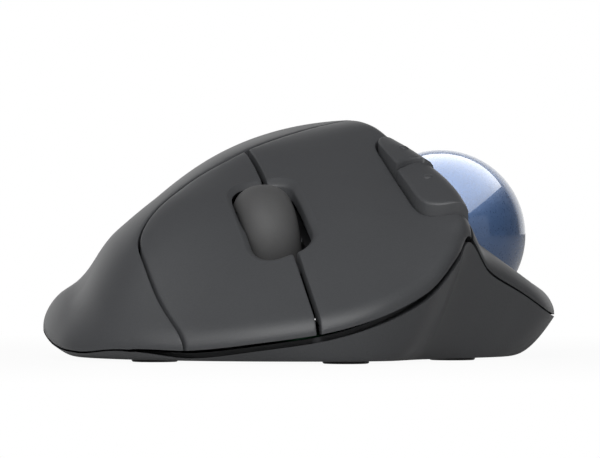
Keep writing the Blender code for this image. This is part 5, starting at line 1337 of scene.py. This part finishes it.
def soft_box(name, place, aim, size, power):
    """Soft area lamp aimed at a point."""
    lamp = bpy.data.lights.new(name, "AREA")
    lamp.shape = "RECTANGLE"
    lamp.size, lamp.size_y = size
    lamp.energy = power
    obj = bpy.data.objects.new(name, lamp)
    bpy.context.scene.collection.objects.link(obj)
    obj.location = place
    obj.rotation_euler = (Vector(aim) - Vector(place)).to_track_quat("-Z", "Y").to_euler()
    return obj


def path_share(tree, *labels):
    """One where a ray is of one of the named kinds."""
    light_path = tree.nodes.new("ShaderNodeLightPath")
    share = light_path.outputs[labels[0]]
    for label in labels[1:]:
        share = maths(tree, "MAXIMUM", share, light_path.outputs[label])
    return share


def make_world():
    """White backdrop for the camera, with a dim studio above and in front for reflections."""
    world = bpy.data.worlds.new("studio")
    world.use_nodes = True
    bpy.context.scene.world = world
    tree = world.node_tree
    background = tree.nodes["Background"]
    background.inputs["Color"].default_value = (1, 1, 1, 1)
    way = tree.nodes.new("ShaderNodeTexCoord").outputs["Generated"]
    towards = linked(tree, "ShaderNodeSeparateXYZ", "", {0: way}).outputs
    behind = linked(tree, "ShaderNodeMapRange", "behind", {
        0: towards["Y"], 1: BACKDROP_BEHIND[0], 2: BACKDROP_BEHIND[1]})
    low = linked(tree, "ShaderNodeMapRange", "low", {0: towards["Z"], 1: BACKDROP_LOW[0], 2: BACKDROP_LOW[1]})
    both = maths(tree, "MULTIPLY", behind.outputs[0], low.outputs[0])
    backdrop = blended(tree, both, GLOSS_DIM, 1.0)
    glossy = blended(tree, path_share(tree, "Is Glossy Ray"), WORLD_LIGHT, backdrop)
    strength = blended(tree, path_share(tree, "Is Camera Ray", "Is Transmission Ray"), glossy, 1.0)
    tree.links.new(strength, background.inputs["Strength"])


def make_floor():
    """Pale floor that keeps a shadow close to the object and is white further off."""
    mesh = bpy.data.meshes.new("floor")
    bm = bmesh.new()
    bmesh.ops.create_grid(bm, x_segments=1, y_segments=1, size=FLOOR_SIZE)
    bm.to_mesh(mesh)
    bm.free()
    floor = bpy.data.objects.new("floor", mesh)
    bpy.context.scene.collection.objects.link(floor)
    material, tree, shader, place = new_material("pale_floor")
    shader.inputs["Base Color"].default_value = FLOOR_COLOUR
    shader.inputs["Roughness"].default_value = 0.9
    glow = linked(tree, "ShaderNodeEmission", "", {"Color": (1, 1, 1, 1), "Strength": 1.0})
    away = linked(tree, "ShaderNodeVectorMath", "", {0: place}, operation="LENGTH")
    fade = linked(tree, "ShaderNodeMapRange", "", {
        0: away.outputs["Value"], 1: FLOOR_FADE[0], 2: FLOOR_FADE[1], 3: FLOOR_GLOW[0], 4: FLOOR_GLOW[1]})
    mirrored = maths(tree, "MULTIPLY", path_share(tree, "Is Glossy Ray"), FLOOR_GLOSS)
    seen = maths(tree, "MAXIMUM", path_share(tree, "Is Camera Ray", "Is Transmission Ray"), mirrored)
    mixed = linked(tree, "ShaderNodeMixShader", "", {
        0: maths(tree, "MULTIPLY", seen, fade.outputs[0]), 1: shader.outputs[0], 2: glow.outputs[0]})
    tree.links.new(mixed.outputs[0], tree.nodes["Material Output"].inputs["Surface"])
    mesh.materials.append(material)


def make_studio():
    """Floor, world, lamps and camera."""
    scene = bpy.context.scene
    scene.view_settings.view_transform = "Standard"
    make_world()
    make_floor()
    for lamp in LAMPS:
        soft_box(*lamp)
    card = soft_box(*GLOSS_CARD)
    card.visible_diffuse = False
    card.light_linking.receiver_collection = bpy.data.collections.new("card_sees_ball")
    card.light_linking.receiver_collection.objects.link(bpy.data.objects["ball_pearl"])
    data = bpy.data.cameras.new("photo_camera")
    data.lens = VIEW_LENS
    data.sensor_width = 36.0
    data.clip_end = 10.0
    camera = bpy.data.objects.new("photo_camera", data)
    scene.collection.objects.link(camera)
    camera.location = VIEW_TARGET + VIEW_DISTANCE * Vector((0, -cos(VIEW_RISE), sin(VIEW_RISE)))
    camera.rotation_euler = (pi / 2 - VIEW_RISE, 0, 0)
    scene.camera = camera


# Dressing

def dress_cad(finishes):
    """Procedural finishes for the CAD parts that keep their own shape."""
    for name, node in frame["nodes"].items():
        finish = next((value for key, value in finishes if key in name), None)
        if finish is None:
            continue
        if not node.material_slots:
            node.data.materials.append(finish)
        for slot in node.material_slots:
            slot.material = finish


def make_pads():
    """Low pads under the body, with rounded edges."""
    pads = bmesh.new()
    top = FOOT_PROUD + FOOT_SUNK - SEAT
    edge = FOOT_PROUD * PAD_EDGE
    for place in FEET:
        levels = [(top, FOOT_RADIUS), (edge, FOOT_RADIUS)]
        for a in PAD_TURNS:
            levels.append((edge * (1 - sin(a)), FOOT_RADIUS - edge * (1 - cos(a))))
        rings = []
        for z, radius in levels:
            turn = np.linspace(0, 2 * pi, PAD_SIDES, endpoint=False)
            around = [(place[0] + radius * cos(a), place[1] + radius * sin(a), z) for a in turn]
            rings.append([pads.verts.new(p) for p in around])
        for a, b in zip(rings, rings[1:]):
            for i in range(len(a)):
                k = (i + 1) % len(a)
                pads.faces.new((a[i], b[i], b[k], a[k]))
        pads.faces.new(rings[0])
        pads.faces.new(rings[-1][::-1])
    bmesh.ops.recalc_face_normals(pads, faces=pads.faces[:])
    return add_object("pads", pads)


def main():
    """Make every finished piece, then the studio."""
    shell = grained("graphite_plastic", SHELL_COLOUR, 0.44, Specular_IOR_Level=0.40)
    rubber = grained("tyre_rubber", RUBBER_COLOUR, 0.58, grain=3200.0, tint=0.3, bump=0.2,
                     Specular_IOR_Level=0.3)
    dark = grained("inner_black_plastic", (0.020, 0.020, 0.022), 0.5)
    steel = grained("zinc_steel", (0.60, 0.60, 0.62), 0.30, grain=1500.0, tint=0.12, spread=0.2, metallic=1.0)
    pad = grained("slick_pad", (0.045, 0.045, 0.047), 0.35, grain=1800.0, tint=0.12)
    loops = panel_outlines()
    palm = make_palm(loops["palm_shell"])
    finished(palm, "palm_moulding", "housing", ["palm_shell"], shell)
    wing = make_thumb_panel(loops["thumb_panel"])
    finished(wing, "thumb_moulding", "housing", ["thumb_panel"], shell)
    finished(make_base(), "base_moulding", "housing", ["base"], shell)
    key = make_left_key(loops["left_key"])
    finished(key, "left_key_moulding", "left_key", ["left_key"], shell)
    key = make_right_key(loops["right_key"])
    finished(key, "right_key_moulding", "right_key", ["right_key"], shell)
    cap = make_cap("cap", loops["forward_button"], FORWARD_RAISE, FORWARD_SWITCH, FORWARD_MARK)
    finished(cap, "forward_cap", "forward_button", ["forward_button"], shell)
    cap = make_cap("cap", loops["back_button"], BACK_RAISE, BACK_SWITCH, BACK_MARK)
    finished(cap, "back_cap", "back_button", ["back_button"], shell)
    blue = pearl()
    sizes = {"Radius": BALL_RADIUS, "Segments": BALL_SIDES, "Finish": blue}
    ball = grown("ball", ball_tree(), [BALL_CENTRE], sizes)
    finished(ball, "ball_pearl", "trackball", ["trackball"], blue)
    tyre = turned("tyre", tyre_profile(TYRE_STEPS), AXLE_FRAME, WHEEL_SIDES)
    finished(tyre, "tyre_rubber", "wheel", ["wheel_tyre"], rubber)
    seat = FOOT_PROUD + SCREW_HEAD_HEIGHT + 2 * SEAT - RUN
    sizes = {"Head_Radius": SCREW_HEAD, "Head_Height": SCREW_HEAD_HEIGHT,
             "Recess_Width": SCREW_HEAD * RECESS_SHARE, "Shank_Radius": SCREW_RADIUS,
             "Shank_Length": SCREW_LENGTH, "Finish": steel}
    screws = grown("screws", screw_tree(), [(*place, seat) for place in SCREWS], sizes)
    names = [f"base_screw_{number}" for number in range(1, len(SCREWS) + 1)]
    finished(screws, "base_screw_set", "housing", names, steel)
    names = [f"foot_{number}" for number in range(1, len(FEET) + 1)]
    finished(make_pads(), "foot_pads", "housing", names, pad)
    dress_cad((
        ("battery_door", shell), ("screw", steel), ("axle", steel), ("spring", steel), ("contact", steel),
        ("sensor_lens", grained("clear_lens", (0.80, 0.83, 0.86), 0.10, tint=0.06, bump=0.02)),
        ("board", grained("green_board", (0.010, 0.085, 0.034), 0.42, grain=900.0, tint=0.5)),
        ("bead", grained("ceramic_bead", (0.82, 0.81, 0.77), 0.14, tint=0.06, bump=0.02)),
        ("plunger", grained("red_plunger", (0.50, 0.050, 0.040), 0.38)),
        ("battery", grained("cell_sleeve", (0.42, 0.43, 0.45), 0.32, grain=700.0, tint=0.15, metallic=0.6)),
        ("hub", grained("hub_plastic", (0.075, 0.075, 0.078), 0.5)),
        ("", dark),
    ))
    make_studio()


GRAIN = moulded_grain()
WORKSHOP = bpy.data.collections.new("workshop")
bpy.context.scene.collection.children.link(WORKSHOP)
main()
bpy.data.collections.remove(WORKSHOP)
